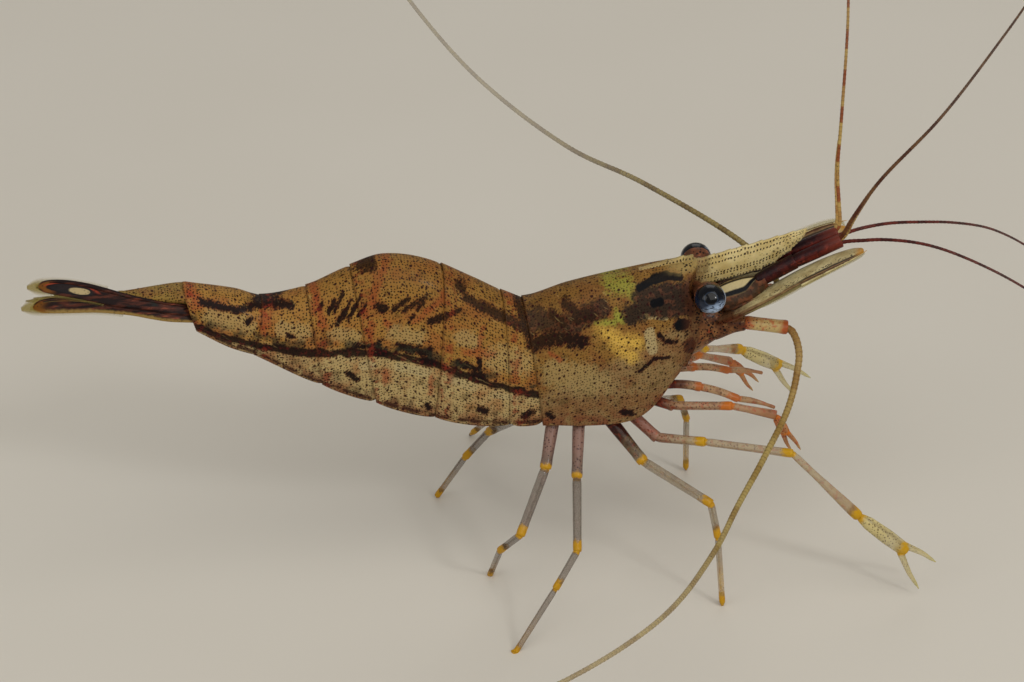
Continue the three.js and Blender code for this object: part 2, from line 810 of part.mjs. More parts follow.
// lean is how many degrees a blade hangs down outwards from the level.
const fanBlades = {
  inner_right: {
    lean: 52,
    line: [
      { at: point(-20.7, -0.9, 21.12), wide: 0.3 },
      { at: point(-22.0, -0.96, 21.45), wide: 0.32 },
      { at: point(-24.6, -0.88, 22.2), wide: 0.42 },
      { at: point(-27.0, -0.62, 22.94), wide: 0.46 },
      { at: point(-28.6, -0.5, 23.26), wide: 0.44 },
      { at: point(-29.8, -0.43, 23.36), wide: 0.26 },
    ],
  },
  outer_right: {
    lean: 55,
    line: [
      { at: point(-20.6, -1.22, 20.5), wide: 0.32 },
      { at: point(-21.9, -1.3, 20.75), wide: 0.34 },
      { at: point(-24.3, -1.26, 21.4), wide: 0.36 },
      { at: point(-26.5, -1.1, 21.9), wide: 0.4 },
      { at: point(-28.4, -0.98, 22.12), wide: 0.44 },
      { at: point(-30.3, -0.9, 22.12), wide: 0.26 },
    ],
  },
  inner_left: {
    lean: 50,
    line: [
      { at: point(-20.7, 0.88, 21.08), wide: 0.3 },
      { at: point(-22.0, 0.9, 21.25), wide: 0.34 },
      { at: point(-24.6, 0.78, 21.5), wide: 0.42 },
      { at: point(-27.2, 0.6, 21.78), wide: 0.46 },
      { at: point(-29.7, 0.45, 22.1), wide: 0.26 },
    ],
  },
  outer_left: {
    lean: 52,
    line: [
      { at: point(-20.6, 1.22, 20.45), wide: 0.32 },
      { at: point(-22.0, 1.4, 20.58), wide: 0.36 },
      { at: point(-24.6, 1.46, 20.72), wide: 0.44 },
      { at: point(-27.2, 1.4, 20.95), wide: 0.5 },
      { at: point(-30.2, 1.1, 21.35), wide: 0.28 },
    ],
  },
};
const fanHigh = 0.25;

for (const [name, { lean, line }] of Object.entries(fanBlades)) {
  const side = name.endsWith('left') ? 1 : -1;
  const across = point(0, side * Math.cos(radians(lean)), -Math.sin(radians(lean)));
  const blades = line.map((station) => ({ ...station, high: fanHigh }));
  add(`uropod_${name}`, tube(blades, 10, across), 'fan');
}

// ---------------------------------------------------------------------------------------------
// The origin goes to the middle of the underside of the model's box
// ---------------------------------------------------------------------------------------------

const box = new THREE.Box3().setFromObject(body);
const middle = box.getCenter(point(0, 0, 0));
body.position.set(-middle.x, -middle.y, -box.min.z);

const group = new THREE.Group();
group.add(body);

export default group;
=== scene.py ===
# %% [markdown]
# # A striped shrimp, skin by skin
# The packed solids hold the size and the stance of this museum model: every plate, leg and feeler is
# there, but thick and faceted. This script dresses them. Each solid is stood for by a finer skin, made
# as a surface over two parameters with numpy and coloured by nodes alone.

import math

import bmesh
import bpy
import numpy as np
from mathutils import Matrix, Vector


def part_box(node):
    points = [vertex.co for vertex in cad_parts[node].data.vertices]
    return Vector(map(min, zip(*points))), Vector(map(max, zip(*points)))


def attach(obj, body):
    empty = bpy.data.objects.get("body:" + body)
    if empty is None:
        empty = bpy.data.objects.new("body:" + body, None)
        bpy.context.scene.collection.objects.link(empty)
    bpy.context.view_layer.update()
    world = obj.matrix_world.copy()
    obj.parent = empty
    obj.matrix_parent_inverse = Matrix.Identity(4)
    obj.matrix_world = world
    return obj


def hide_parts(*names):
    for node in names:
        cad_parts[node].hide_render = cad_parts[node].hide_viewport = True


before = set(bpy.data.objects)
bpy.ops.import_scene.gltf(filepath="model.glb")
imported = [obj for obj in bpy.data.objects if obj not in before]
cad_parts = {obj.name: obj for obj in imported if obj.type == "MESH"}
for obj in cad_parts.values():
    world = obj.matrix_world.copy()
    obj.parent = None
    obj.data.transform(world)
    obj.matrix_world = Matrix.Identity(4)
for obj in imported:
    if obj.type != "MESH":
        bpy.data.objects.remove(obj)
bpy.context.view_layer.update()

# %% [markdown]
# ## The animal's own millimetres
# A shrimp is easiest to describe from its own middle plane: x forward, y to its left, z up from the
# floor. The frame puts its origin elsewhere, under the middle of the whole box. One solid whose place in
# both is known ties them together, and the ball of the right eye is the roundest of them.

# %% Tie the animal's millimetres to the frame
MM = 0.001
EYE_RADIUS = 1.0
EYE = np.array([12.42, -2.6, 20.23])
corners = np.array([tuple(corner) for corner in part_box("eye_right")])
ORIGIN = corners.mean(axis=0) - MM * EYE
print("eye across:", round(float(np.ptp(corners[:, 0])) / MM, 2), "mm; origin:", (ORIGIN / MM).round(2))

# %% [markdown]
# ## Camera
# A long lens a quarter of a metre away, looking down on the right flank, keeps the perspective weak as
# a close-up of a small animal does. The lens length follows from how many millimetres one millimetre
# of the view's width stands for at that distance.

# %% Place the camera
VIEW_AZIMUTH, VIEW_ELEVATION = math.radians(-8), math.radians(32)
VIEW_DISTANCE = 250 * MM
VIEW_WIDTH = 66.06 * MM
target = Vector(ORIGIN) + Vector((0, 0, 16.5 * MM))
back = Vector(
    (
        math.sin(VIEW_AZIMUTH) * math.cos(VIEW_ELEVATION),
        -math.cos(VIEW_AZIMUTH) * math.cos(VIEW_ELEVATION),
        math.sin(VIEW_ELEVATION),
    )
)
camera = bpy.data.objects.new("camera", bpy.data.cameras.new("camera"))
camera.data.sensor_width = 36
camera.data.lens = camera.data.sensor_width * VIEW_DISTANCE / VIEW_WIDTH
camera.data.clip_start, camera.data.clip_end = 0.01, 20
camera.location = target + VIEW_DISTANCE * back
camera.rotation_mode = "QUATERNION"
camera.rotation_quaternion = (-back).to_track_quat("-Z", "Y")
bpy.context.scene.collection.objects.link(camera)
bpy.context.scene.camera = camera
print("lens:", round(camera.data.lens, 1), "mm")

# %% [markdown]
# ## Shader sums as plain expressions
# A pattern such as a spot on a shell is arithmetic on coordinates. In the node editor every + and * is a
# box of its own. Wrapping a socket in a small class lets the arithmetic be written as it is read, and each
# operator adds its Math node by itself.


# %% Wrap a socket
class Wire:
    """An output socket. Sums with numbers or other wires give new wires."""

    def __init__(self, paint, socket):
        self.paint, self.socket = paint, socket

    def sum(self, operation, *values):
        settings = {"operation": operation}
        return self.paint.node("ShaderNodeMath", settings, dict(enumerate(values)))

    def __add__(self, other):
        return self.sum("ADD", self, other)

    def __sub__(self, other):
        return self.sum("SUBTRACT", self, other)

    def __rsub__(self, other):
        return self.sum("SUBTRACT", other, self)

    def __mul__(self, other):
        return self.sum("MULTIPLY", self, other)

    __radd__, __rmul__ = __add__, __mul__

    def __truediv__(self, other):
        return self.sum("DIVIDE", self, other)

    def fold(self):
        """The value without its sign."""
        return self.sum("ABSOLUTE", self)

    def at_most(self, other):
        return self.sum("MINIMUM", self, other)

    def at_least(self, other):
        return self.sum("MAXIMUM", self, other)

    def ripple(self):
        """A sine wave of the value, from 0 to 1."""
        return self.sum("SINE", self) * 0.5 + 0.5

    def ramp(self, low, high):
        """0 at low and 1 at high with an S-shaped rise between, or the fall if low is above high."""
        if low > high:
            return 1 - self.ramp(high, low)
        settings = {"interpolation_type": "SMOOTHSTEP"}
        return self.paint.node("ShaderNodeMapRange", settings, {0: self, 1: low, 2: high})

    def near(self, middle, reach, core):
        """1 where the value is within core of the middle, and 0 where it is further off than reach."""
        return (self - middle).fold().ramp(reach, core)


print("a wire can:", [name for name in vars(Wire) if not name.startswith("_")])

# %% [markdown]
# ## A material as a stack of layers
# A finish is built the way a model maker paints: a ground of two tones, then thin layers, each laid on
# through a mask. The mask may come from noise, from specks, from the place on the animal, or from a number
# kept at the mesh's points. All nodes come from one method, so a finish reads as a list of its layers.
# Shrimp shell under water has little gloss, so the plain gloss is low.

# %% Build a material
PLAIN_GLOSS = 0.12
INK = (24, 14, 9)
COAT_SOCKETS = ("Coat Weight", "Coat Roughness")
GLOW_SOCKETS = ("Subsurface Weight", "Subsurface Radius", "Subsurface Scale")


def linear(tint):
    """Screen values from 0 to 255 as the linear colour that a shader takes."""
    screen = np.array(tint) / 255
    light = np.where(screen > 0.04045, ((screen + 0.055) / 1.055) ** 2.4, screen / 12.92)
    return (*light.tolist(), 1.0)


class Paint:
    """One material, built layer by layer. Its colours are given as screen values."""

    def __init__(self, name):
        self.material = bpy.data.materials.new(name)
        self.material.use_nodes = True
        self.tree = self.material.node_tree
        self.tree.nodes.clear()
        self.base = None
        self.made = {}

    def node(self, kind, settings=None, values=None, output=0):
        """A node of that kind: its settings first, then the value or the link of each socket."""
        node = self.tree.nodes.new(kind)
        for key, value in (settings or {}).items():
            setattr(node, key, value)
        for key, value in (values or {}).items():
            if isinstance(value, Wire):
                self.tree.links.new(value.socket, node.inputs[key])
            else:
                node.inputs[key].default_value = value
        return Wire(self, node.outputs[output]) if node.outputs else None

    def place(self):
        """Where a point lies, in the animal's millimetres. Made once and shared."""
        if "place" not in self.made:
            here = self.node("ShaderNodeTexCoord", output="Object")
            step = {"operation": "SUBTRACT"}
            here = self.node("ShaderNodeVectorMath", step, {0: here, 1: tuple(ORIGIN)})
            scale = {"operation": "SCALE"}
            self.made["place"] = self.node("ShaderNodeVectorMath", scale, {0: here, "Scale": 1 / MM})
        return self.made["place"]

    def axis(self, letter):
        """x, y or z of the place."""
        return self.node("ShaderNodeSeparateXYZ", None, {0: self.place()}, letter.upper())

    def mark(self, name):
        """A number kept at each point of the piece's mesh."""
        return self.node("ShaderNodeAttribute", {"attribute_name": name}, None, "Fac")

    def stretched(self, factors):
        """The place, squeezed by a factor along each axis, for patterns that run one way."""
        step = {"operation": "MULTIPLY"}
        return self.node("ShaderNodeVectorMath", step, {0: self.place(), 1: factors})

    def turned(self, angle, factors):
        """The place turned about y by an angle in radians and then squeezed, for slanting streaks."""
        turn = {"rotation_type": "Y_AXIS"}
        values = {"Vector": self.place(), "Angle": angle}
        values = {0: self.node("ShaderNodeVectorRotate", turn, values), 1: factors}
        return self.node("ShaderNodeVectorMath", {"operation": "MULTIPLY"}, values)

    def cloud(self, size, detail=2.0, where=None):
        """Soft noise from 0 to 1 whose blobs are about size millimetres."""
        values = {"Vector": where or self.place(), "Scale": 1 / size, "Detail": detail}
        return self.node("ShaderNodeTexNoise", None, values)

    def stir(self, size, reach, detail=2.0):
        """Noise either side of 0 over that reach, which makes the edge of a mask wander."""
        return (self.cloud(size, detail) - 0.5) * reach

    def skin(self):
        """The flat place on a shell: its x, and its way round from the midline in millimetres."""
        if "skin" not in self.made:
            values = {"X": self.axis("x"), "Y": self.mark("round")}
            self.made["skin"] = self.node("ShaderNodeCombineXYZ", None, values)
        return self.made["skin"]

    def dots(self, spacing, radius, flat=False, scatter=0.8):
        """1 inside round specks that far apart, in millimetres. Each Voronoi cell brings its own random
        grey, which makes its speck smaller or larger. flat specks lie on the shell's skin, and the
        others are balls in space that the surface cuts. scatter 0 would set them in straight rows."""
        settings = {"voronoi_dimensions": "2D" if flat else "3D"}
        where = self.skin() if flat else self.place()
        values = {"Vector": where, "Scale": 1 / spacing, "Randomness": scatter}
        away = self.node("ShaderNodeTexVoronoi", settings, values)
        grey = Wire(self, away.socket.node.outputs["Color"])
        reach = (grey * 0.7 + 0.65) * (radius / spacing)
        return (away / reach).ramp(1.15, 0.75)

    def mix(self, mask, under, over):
        """The colour over on top of the colour under, where mask is 1."""
        under, over = (tint if isinstance(tint, Wire) else linear(tint) for tint in (under, over))
        return self.node("ShaderNodeMix", {"data_type": "RGBA"}, {0: mask, 6: under, 7: over}, 2)

    def ground(self, mask, one, other):
        """Starts the base colour with two tones: the other one where mask is 1."""
        self.base = self.mix(mask, one, other)

    def layer(self, mask, over):
        """Covers the base colour with the colour over, where mask is 1."""
        self.base = self.mix(mask, self.base, over)

    def finish(self, rough, bump=None, bump_height=0.0, coat=(), glow=(), **others):
        """Ends the material: its roughness, a bump of a height in millimetres, the weight and roughness of
        a clear coat, the weight, radius and scale of light under the skin, and other sockets by name."""
        values = {"Base Color": self.base, "Roughness": rough, "Specular IOR Level": PLAIN_GLOSS}
        if bump is not None:
            lift = {"Height": bump, "Distance": bump_height * MM, "Strength": 1.0}
            values["Normal"] = self.node("ShaderNodeBump", None, lift)
        values.update(zip(COAT_SOCKETS, coat))
        values.update(zip(GLOW_SOCKETS, glow))
        values.update({name.replace("_", " "): value for name, value in others.items()})
        shader = self.node("ShaderNodeBsdfPrincipled", None, values)
        self.node("ShaderNodeOutputMaterial", None, {"Surface": shader})
        print(self.material.name, "has", len(self.tree.nodes), "nodes")
        return self.material


print("ink as linear light:", np.round(linear(INK)[:3], 4))

# %% [markdown]
# ## From arrays to a mesh
# A skin could be pushed and pulled out of a cube by hand. Worked out as a grid of points it can be
# changed by one number: rows follow one another along the piece, and each is a closed loop round it. One
# function turns such grids into a mesh, whatever the piece is. Rows that shrink to a point or to a line
# close the ends, and merging the doubles turns their flat squares into triangles.


# %% Make a piece from closed grids
DOUBLES_WITHIN = 1e-7
SIDES = {"right": -1, "left": 1}
pieces_made = []


def make_piece(name, shells, material, slot, *nodes):
    """One mesh from closed shells. A shell is (grid, marks): grid has rows of looped points in the
    animal's millimetres, and marks has a number, or an array of them, for each named attribute."""
    corners, squares, start = [], [], 0
    marks = {key: [] for key in shells[0][1]}
    for grid, values in shells:
        rows, columns = grid.shape[:2]
        row_start = start + columns * np.arange(rows - 1)[:, None]
        here = row_start + np.arange(columns)
        beside = row_start + (np.arange(columns) + 1) % columns
        squares.append(np.stack([here, beside, beside + columns, here + columns], -1).reshape(-1, 4))
        corners.append(grid.reshape(-1, 3))
        for key in marks:
            marks[key].append(np.broadcast_to(values[key], (rows, columns)).ravel())
        start += rows * columns
    corners, squares = np.concatenate(corners) * MM + ORIGIN, np.concatenate(squares)
    mesh = bpy.data.meshes.new(name)
    mesh.vertices.add(len(corners))
    mesh.vertices.foreach_set("co", corners.astype(np.float32).ravel())
    mesh.loops.add(squares.size)
    mesh.loops.foreach_set("vertex_index", squares.astype(np.int32).ravel())
    mesh.polygons.add(len(squares))
    mesh.polygons.foreach_set("loop_start", np.arange(0, squares.size, 4, dtype=np.int32))
    mesh.update(calc_edges=True)
    for key, parts in marks.items():
        values = np.concatenate(parts).astype(np.float32)
        mesh.attributes.new(key, "FLOAT", "POINT").data.foreach_set("value", values)
    merged = bmesh.new()
    merged.from_mesh(mesh)
    bmesh.ops.remove_doubles(merged, verts=merged.verts, dist=DOUBLES_WITHIN)
    bmesh.ops.recalc_face_normals(merged, faces=merged.faces)
    merged.to_mesh(mesh)
    merged.free()
    mesh.shade_smooth()
    mesh.materials.append(material)
    piece = bpy.data.objects.new(name, mesh)
    bpy.context.scene.collection.objects.link(piece)
    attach(piece, "root")
    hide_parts(*nodes)
    pieces_made.append((name, len(mesh.polygons)))
    print(*pieces_made[-1], "faces")


print("points closer than", DOUBLES_WITHIN, "m become one")


# %% [markdown]
# ## Smooth lines from a few places
# A back, a hem or a feeler's route is drawn by a handful of places. Blender's own curves could join them,
# but numpy needs the points themselves. A cubic Hermite curve goes through all the places, and its slope
# at each is that of the line between the two neighbours, so it never swings out as a high-order curve
# would. Two bell-like helpers, a rise and a hill, shape everything that swells or fades.


# %% Curves through places
def curve(knots, values, at):
    """Hermite curve through values at knots, read at the numbers at. values may be numbers or points."""
    knots, values, at = np.asarray(knots, float), np.asarray(values, float), np.asarray(at, float)
    flat = values.ndim == 1
    values = values[:, None] if flat else values
    order = np.arange(len(knots))
    before, after = np.maximum(order - 1, 0), np.minimum(order + 1, order[-1])
    slopes = (values[after] - values[before]) / (knots[after] - knots[before])[:, None]
    i = np.clip(np.searchsorted(knots, at, side="right") - 1, 0, order[-1] - 1)
    run = (knots[i + 1] - knots[i])[..., None]
    t = np.clip((at - knots[i])[..., None] / run, 0, 1)
    rise = t * t * (3 - 2 * t)
    lift = t * (1 - t) ** 2 * run * slopes[i] + t * t * (t - 1) * run * slopes[i + 1]
    found = values[i] * (1 - rise) + values[i + 1] * rise + lift
    return found[..., 0] if flat else found


def run_along(points):
    """How far along a line each of its points lies: the sum of the gaps before it. In a grid, every row is
    such a line."""
    gaps = np.linalg.norm(np.diff(points, axis=-2), axis=-1)
    return np.concatenate([0 * gaps[..., :1], np.cumsum(gaps, axis=-1)], -1)


def route(places, steps):
    """A smooth line through places, cut into equal steps of its own length."""
    places = np.asarray(places, float)
    knots = run_along(places)
    fine = curve(knots, places, np.linspace(0, knots[-1], 8 * steps + 1))
    length = run_along(fine)
    even = np.linspace(0, length[-1], steps + 1)
    return np.stack([np.interp(even, length, fine[:, k]) for k in range(3)], 1)


def rise(value, low, high):
    """0 below low and 1 above high, with an S-shaped rise between them."""
    t = np.clip((value - low) / (high - low), 0, 1)
    return t * t * (3 - 2 * t)


def hill(value, middle, reach):
    """1 at middle and near 0 a reach and a half away, a bell curve."""
    return np.exp(-(((value - middle) / reach) ** 2))


print("half way up the S:", rise(0.5, 0, 1), "and at a hill's reach:", round(hill(1, 0, 1), 2))

# %% [markdown]
# ## Tubes and leaves
# Legs, feelers, stalks and even leaf-shaped scales are one shape: an oval carried along a line. A feeler
# is a round oval, and a leaf is one so flat that its ends are its two thin edges. The across direction
# is kept square to the line by taking away the share of it that runs along the line.


# %% Carry an oval along a line
def unit(vectors):
    return vectors / np.linalg.norm(vectors, axis=-1, keepdims=True)


def flat_direction(line):
    """The direction that a nearly flat line never runs in: its least axis of spread."""
    return np.linalg.svd(line - line.mean(axis=0))[2][2]


def tube(line, wide, high=None, across=None, sides=16, cup=0.0, **marks):
    """Ovals of half-width wide and half-height high along line. cup bends each oval like a trough, by
    that share of its width. Rows at both ends shrink to their middles. Marks hold one value a row;
    along is the length from the start in millimetres, and across goes from -1 to 1 over the width."""
    steps = len(line)
    wide = np.broadcast_to(wide, steps)[:, None, None]
    high = wide if high is None else np.broadcast_to(high, steps)[:, None, None]
    forward = unit(np.gradient(line, axis=0))
    across = np.asarray(flat_direction(line) if across is None else across, float)
    broad = unit(across - (forward @ across)[:, None] * forward)
    thin = np.cross(forward, broad)
    angle = 2 * math.pi * np.arange(sides) / sides
    cosine, sine = np.cos(angle)[:, None], np.sin(angle)[:, None]
    lift = high * sine + cup * wide * cosine**2
    grid = line[:, None] + wide * cosine * broad[:, None] + lift * thin[:, None]
    middles = grid.mean(axis=1, keepdims=True)[[0, -1]] + 0 * grid[:1]
    grid = np.concatenate([middles[:1], grid, middles[1:]])
    values = {"along": run_along(line), **marks}
    columns = {
        key: np.concatenate([[v[0]], v, [v[-1]]])[:, None]
        for key, v in ((key, np.broadcast_to(value, steps)) for key, value in values.items())
    }
    return grid, {**columns, "across": cosine[:, 0]}


print("a tube's marks:", sorted(tube(np.eye(3), 0.1)[1]))

# %% [markdown]
# ## The lines that shape the body
# A prawn's body reads from four lines: the back, the lower edge of the side flaps, the underside between
# the flaps, and the half-width. The solids are built on the same four, so the skins fit them. A fifth line
# runs low on the flank, where the arched roof of each ring meets its hanging flap, and the dark stripe
# follows it.

# %% Body lines: x, then height or half-width
BACK = [
    (-20.8, 22.5), (-17.7, 21.75), (-15.9, 21.1), (-12.9, 21.7), (-10.2, 22.95), (-8.2, 23.5),
    (-5.3, 22.9), (-2.4, 21.25), (-0.45, 20.1), (0.8, 19.6), (3.75, 20.4), (8.3, 21.3), (11.6, 21.85),
]
HEM = [
    (-20.3, 19.75), (-18.3, 18.55), (-16.4, 17.7), (-12.7, 15.5), (-7.6, 13.3), (-2.4, 11.75),
    (2.8, 11.25), (6.5, 11.15), (8.1, 11.5), (9.5, 12.6), (11.4, 14.5),
]
BELLY = [
    (-20.3, 20.1), (-16.1, 18.5), (-11.4, 17.6), (-5.8, 16.4), (-0.5, 14.2), (2.0, 13.0), (5.0, 12.4),
    (8.0, 12.4), (9.6, 13.3), (11.4, 15.0),
]
WIDTH = [
    (-20.8, 1.4), (-16.0, 1.85), (-13.0, 2.15), (-9.0, 2.5), (-5.0, 2.7), (-1.0, 2.65), (1.0, 2.55),
    (4.0, 2.75), (8.0, 2.75), (11.4, 2.2),
]
FLANK = [
    (-20.3, 20.1), (-18.3, 19.2), (-16.1, 18.6), (-13.9, 18.1), (-11.4, 18.0), (-8.8, 17.85),
    (-5.8, 17.0), (-3.7, 16.0), (-2.5, 15.4), (-0.5, 14.5), (1.5, 13.8),
]


def height(table, x):
    """Height, or half-width, on one of the body's lines."""
    return curve(*np.array(table, float).T, x)


print("depth at the hump:", round(float(height(BACK, -8.2) - height(HEM, -8.2)), 2), "mm")

# %% [markdown]
# ## Marks on the flank
# The stripes and patches of this species sit in the same places on both flanks, so each is written once,
# as a stroke between two points of the side view with a reach. The strokes are worked out at the mesh's
# points as numbers that fade from the middle of the stroke, and the shader later frays their edges with
# noise, as pigment cells do.

# %% Strokes of pigment: x, z to x, z, then reach, all in millimetres
STROKES = {
    "dark": [
        (0.35, 19.7, 0.8, 18.0, 0.45), (-3.2, 20.95, -2.3, 20.3, 0.32), (-2.3, 20.3, 0.7, 18.4, 0.42),
        (-3.6, 21.6, -3.3, 21.4, 0.4), (-8.75, 21.05, -8.45, 21.0, 0.48),
        (-7.9, 20.9, -6.9, 21.45, 0.24), (-7.3, 20.7, -5.7, 21.5, 0.2), (-6.4, 20.75, -5.9, 21.1, 0.16),
        (-7.0, 19.9, -6.6, 20.4, 0.14), (-5.6, 19.9, -4.6, 20.1, 0.34), (-4.6, 20.1, -3.6, 20.35, 0.22),
        (-11.95, 20.7, -11.5, 21.4, 0.2), (-11.6, 20.75, -10.95, 21.8, 0.14),
        (-11.45, 20.0, -11.0, 20.8, 0.22), (-11.05, 20.4, -10.5, 21.5, 0.15),
        (-10.75, 20.3, -10.2, 21.2, 0.2), (-10.3, 20.9, -9.85, 21.8, 0.14),
        (-10.1, 20.5, -9.6, 21.2, 0.16), (-12.5, 20.9, -12.3, 21.2, 0.2), (-9.9, 23.2, -9.0, 23.3, 0.4),
        (-8.85, 18.75, -8.85, 18.0, 0.24), (-9.2, 18.05, -8.5, 17.95, 0.42),
        (-5.62, 18.1, -5.66, 17.3, 0.24), (-6.0, 17.25, -5.4, 17.05, 0.42),
        (-2.48, 16.9, -2.5, 15.9, 0.24), (-2.85, 15.9, -2.25, 15.65, 0.4),
        (-7.6, 18.3, -5.9, 17.8, 0.45), (-10.4, 18.5, -8.9, 18.4, 0.3), (-3.9, 16.9, -2.7, 16.2, 0.35),
        (-10.9, 16.5, -10.3, 15.9, 0.32), (-16.9, 20.45, -17.1, 20.35, 0.3),
        (-14.2, 21.0, -17.7, 21.1, 0.26), (-14.5, 19.3, -14.4, 19.3, 0.3),
        (-17.7, 21.1, -19.9, 21.8, 0.3), (-15.9, 18.5, -16.6, 18.3, 0.42), (1.1, 17.5, 2.4, 17.9, 0.75),
        (2.4, 17.9, 4.2, 17.6, 0.7), (3.3, 19.75, 3.9, 19.4, 0.5), (2.4, 19.2, 3.0, 18.8, 0.45),
        (3.9, 19.1, 4.9, 19.3, 0.6), (0.9, 12.5, 0.5, 12.2, 0.42), (2.0, 12.3, 2.3, 12.0, 0.32),
        (6.9, 12.1, 7.4, 11.9, 0.42), (7.9, 15.2, 8.9, 16.05, 0.2), (8.9, 16.05, 9.9, 15.9, 0.18),
        (9.15, 17.75, 9.6, 17.15, 0.22), (9.6, 17.15, 10.3, 17.0, 0.24),
        (10.6, 18.2, 10.85, 18.15, 0.62), (11.2, 16.7, 11.3, 16.2, 0.5), (-5.9, 13.7, -5.7, 13.4, 0.3),
        (-2.4, 13.1, -2.1, 12.9, 0.4),
    ],
    "gut": [
        (7.5, 19.2, 8.4, 19.5, 0.95), (8.2, 20.1, 10.9, 20.2, 0.95), (8.6, 19.4, 11.0, 19.3, 0.85),
        (1.2, 18.9, 3.5, 18.6, 0.9), (3.5, 18.7, 5.5, 19.6, 0.8),
    ],
    "black": [
        (8.9, 19.75, 9.3, 19.8, 0.32), (8.0, 20.6, 9.0, 21.0, 0.22), (9.0, 21.0, 9.9, 21.16, 0.27),
        (9.9, 21.16, 10.7, 21.08, 0.22), (10.62, 18.2, 10.8, 18.2, 0.5),
    ],
    "red": [
        (-8.1, 23.5, -8.8, 22.7, 0.55), (-8.8, 22.7, -9.2, 21.3, 0.6), (-9.3, 19.9, -9.5, 19.4, 0.6),
        (-8.4, 20.1, -8.2, 19.8, 0.45), (-4.6, 21.4, -4.8, 21.0, 0.5), (-5.0, 21.0, -6.6, 20.0, 0.45),
        (-2.2, 19.0, -2.6, 17.2, 0.35), (-3.4, 17.6, -1.6, 17.2, 0.55),
        (-12.8, 22.0, -12.3, 20.0, 0.55), (-15.85, 21.2, -16.1, 19.6, 0.6),
        (-20.6, 22.6, -20.1, 21.6, 0.5), (-20.1, 20.35, -20.0, 20.2, 0.45),
        (-8.55, 16.5, -8.5, 15.8, 0.6), (-5.6, 16.0, -5.6, 14.6, 0.4), (-14.9, 17.9, -14.7, 17.7, 0.4),
        (5.2, 19.5, 5.9, 19.4, 0.55), (3.3, 18.7, 3.7, 18.6, 0.4), (2.1, 16.9, 2.8, 16.4, 0.35),
        (-0.3, 20.2, 0.3, 19.6, 0.5),
    ],
    "gold": [
        (5.5, 18.3, 6.6, 17.6, 0.8), (6.4, 17.5, 7.7, 17.2, 1.1), (6.8, 16.9, 7.4, 16.5, 1.0),
    ],
    "green": [
        (6.1, 20.7, 7.4, 20.7, 0.65), (7.2, 20.7, 7.6, 20.2, 0.5), (6.5, 19.3, 6.8, 18.9, 0.45),
        (5.2, 18.8, 6.2, 18.7, 0.4),
    ],
    "tan": [
        (-19.3, 20.9, -17.2, 20.1, 0.9), (2.6, 15.4, 5.2, 14.6, 1.5), (-1.3, 16.9, 0.3, 16.3, 1.3),
        (-3.6, 18.6, -2.9, 18.3, 0.8), (-11.5, 19.4, -10.4, 19.0, 0.8), (-7.9, 19.3, -6.3, 18.9, 0.8),
        (-14.8, 19.7, -13.6, 19.5, 0.8), (2.6, 15.6, 4.4, 15.2, 1.3),
    ],
    "pale": [
        (-9.9, 17.0, -9.4, 17.0, 0.55), (-7.6, 16.8, -5.9, 16.3, 0.5), (-4.2, 15.6, -2.9, 14.9, 0.45),
        (-1.4, 14.1, -0.2, 13.8, 0.35), (8.55, 17.9, 8.75, 16.7, 0.55), (8.0, 19.0, 9.7, 18.72, 0.16),
    ],
}


def stroke_marks(points):
    """For each kind of pigment, how strongly a point is marked: 1 on the middle of its nearest stroke
    and 0 at the stroke's reach, measured in the side view."""
    x, z = points[..., 0], points[..., 2]
    found = {}
    for kind, strokes in STROKES.items():
        strength = np.zeros(x.shape)
        for x0, z0, x1, z1, reach in strokes:
            dx, dz = x1 - x0, z1 - z0
            share = np.clip(((x - x0) * dx + (z - z0) * dz) / (dx * dx + dz * dz), 0, 1)
            off = np.hypot(x - x0 - share * dx, z - z0 - share * dz)
            strength = np.maximum(strength, 1 - off / reach)
        found[kind] = strength.clip(0, 1)
    return found


print("strokes:", sum(len(strokes) for strokes in STROKES.values()))
# %% [markdown]
# ## Specks and strokes of pigment
# A prawn's shell is clear, and its colour is pigment cells under it. Most are brown-black specks of two
# sizes, thousands of them, and others crowd into patches. Specks painted on an image would blur close up,
# so a Voronoi pattern places them. On a shell it lies over the skin's own flat place, which keeps every
# speck round. A stroke of pigment starts as a number that fades from the stroke's middle, and noise added
# to that number before it is cut frays the edge.


# %% Specks and frayed strokes
SPECKS_SMALL, SPECKS_LARGE = (0.2, 0.05), (0.58, 0.076)


def frayed(paint, kind, size, depth, start, full):
    """A stroke's mask, which rises as its mark goes from start to full. The mark is frayed by coarse
    noise of that size and depth, and broken by fine slanting noise."""
    slanted = paint.cloud(0.14, 3.0, paint.turned(0.9, (0.3, 1.0, 1.6)))
    worn = paint.mark(kind) + paint.stir(size, depth, 3.0) + (slanted - 0.5) * (0.9 * depth)
    return worn.ramp(start, full) * paint.mark(kind).ramp(0.0, 0.25)


def specks(paint, small):
    """Adds the two sizes of pigment specks. Noise thins out the small ones here and there, and small is
    how strongly they show."""
    thin = paint.cloud(1.6).ramp(0.3, 0.6)
    fine = paint.dots(*SPECKS_SMALL, flat=True, scatter=0.6) * (0.65 + 0.3 * thin) * small
    coarse = paint.dots(*SPECKS_LARGE, flat=True, scatter=0.7)
    paint.layer(fine, INK)
    paint.layer(coarse * 0.95, (44, 13, 13))


print("spacing and radius of the specks:", SPECKS_SMALL, SPECKS_LARGE)

# %% [markdown]
# ## Ground and patches
# Under the specks the shell is tan on the back and paler below the flank line, and clouded with browns.
# One noise would look like marble, so four sizes of it are cut soft and laid over one another. The strokes
# come on top, the pale ones first: gold and green behind the head, red at the seams, then the dark
# stomach that shows through the shell of the head, and the dark bars.


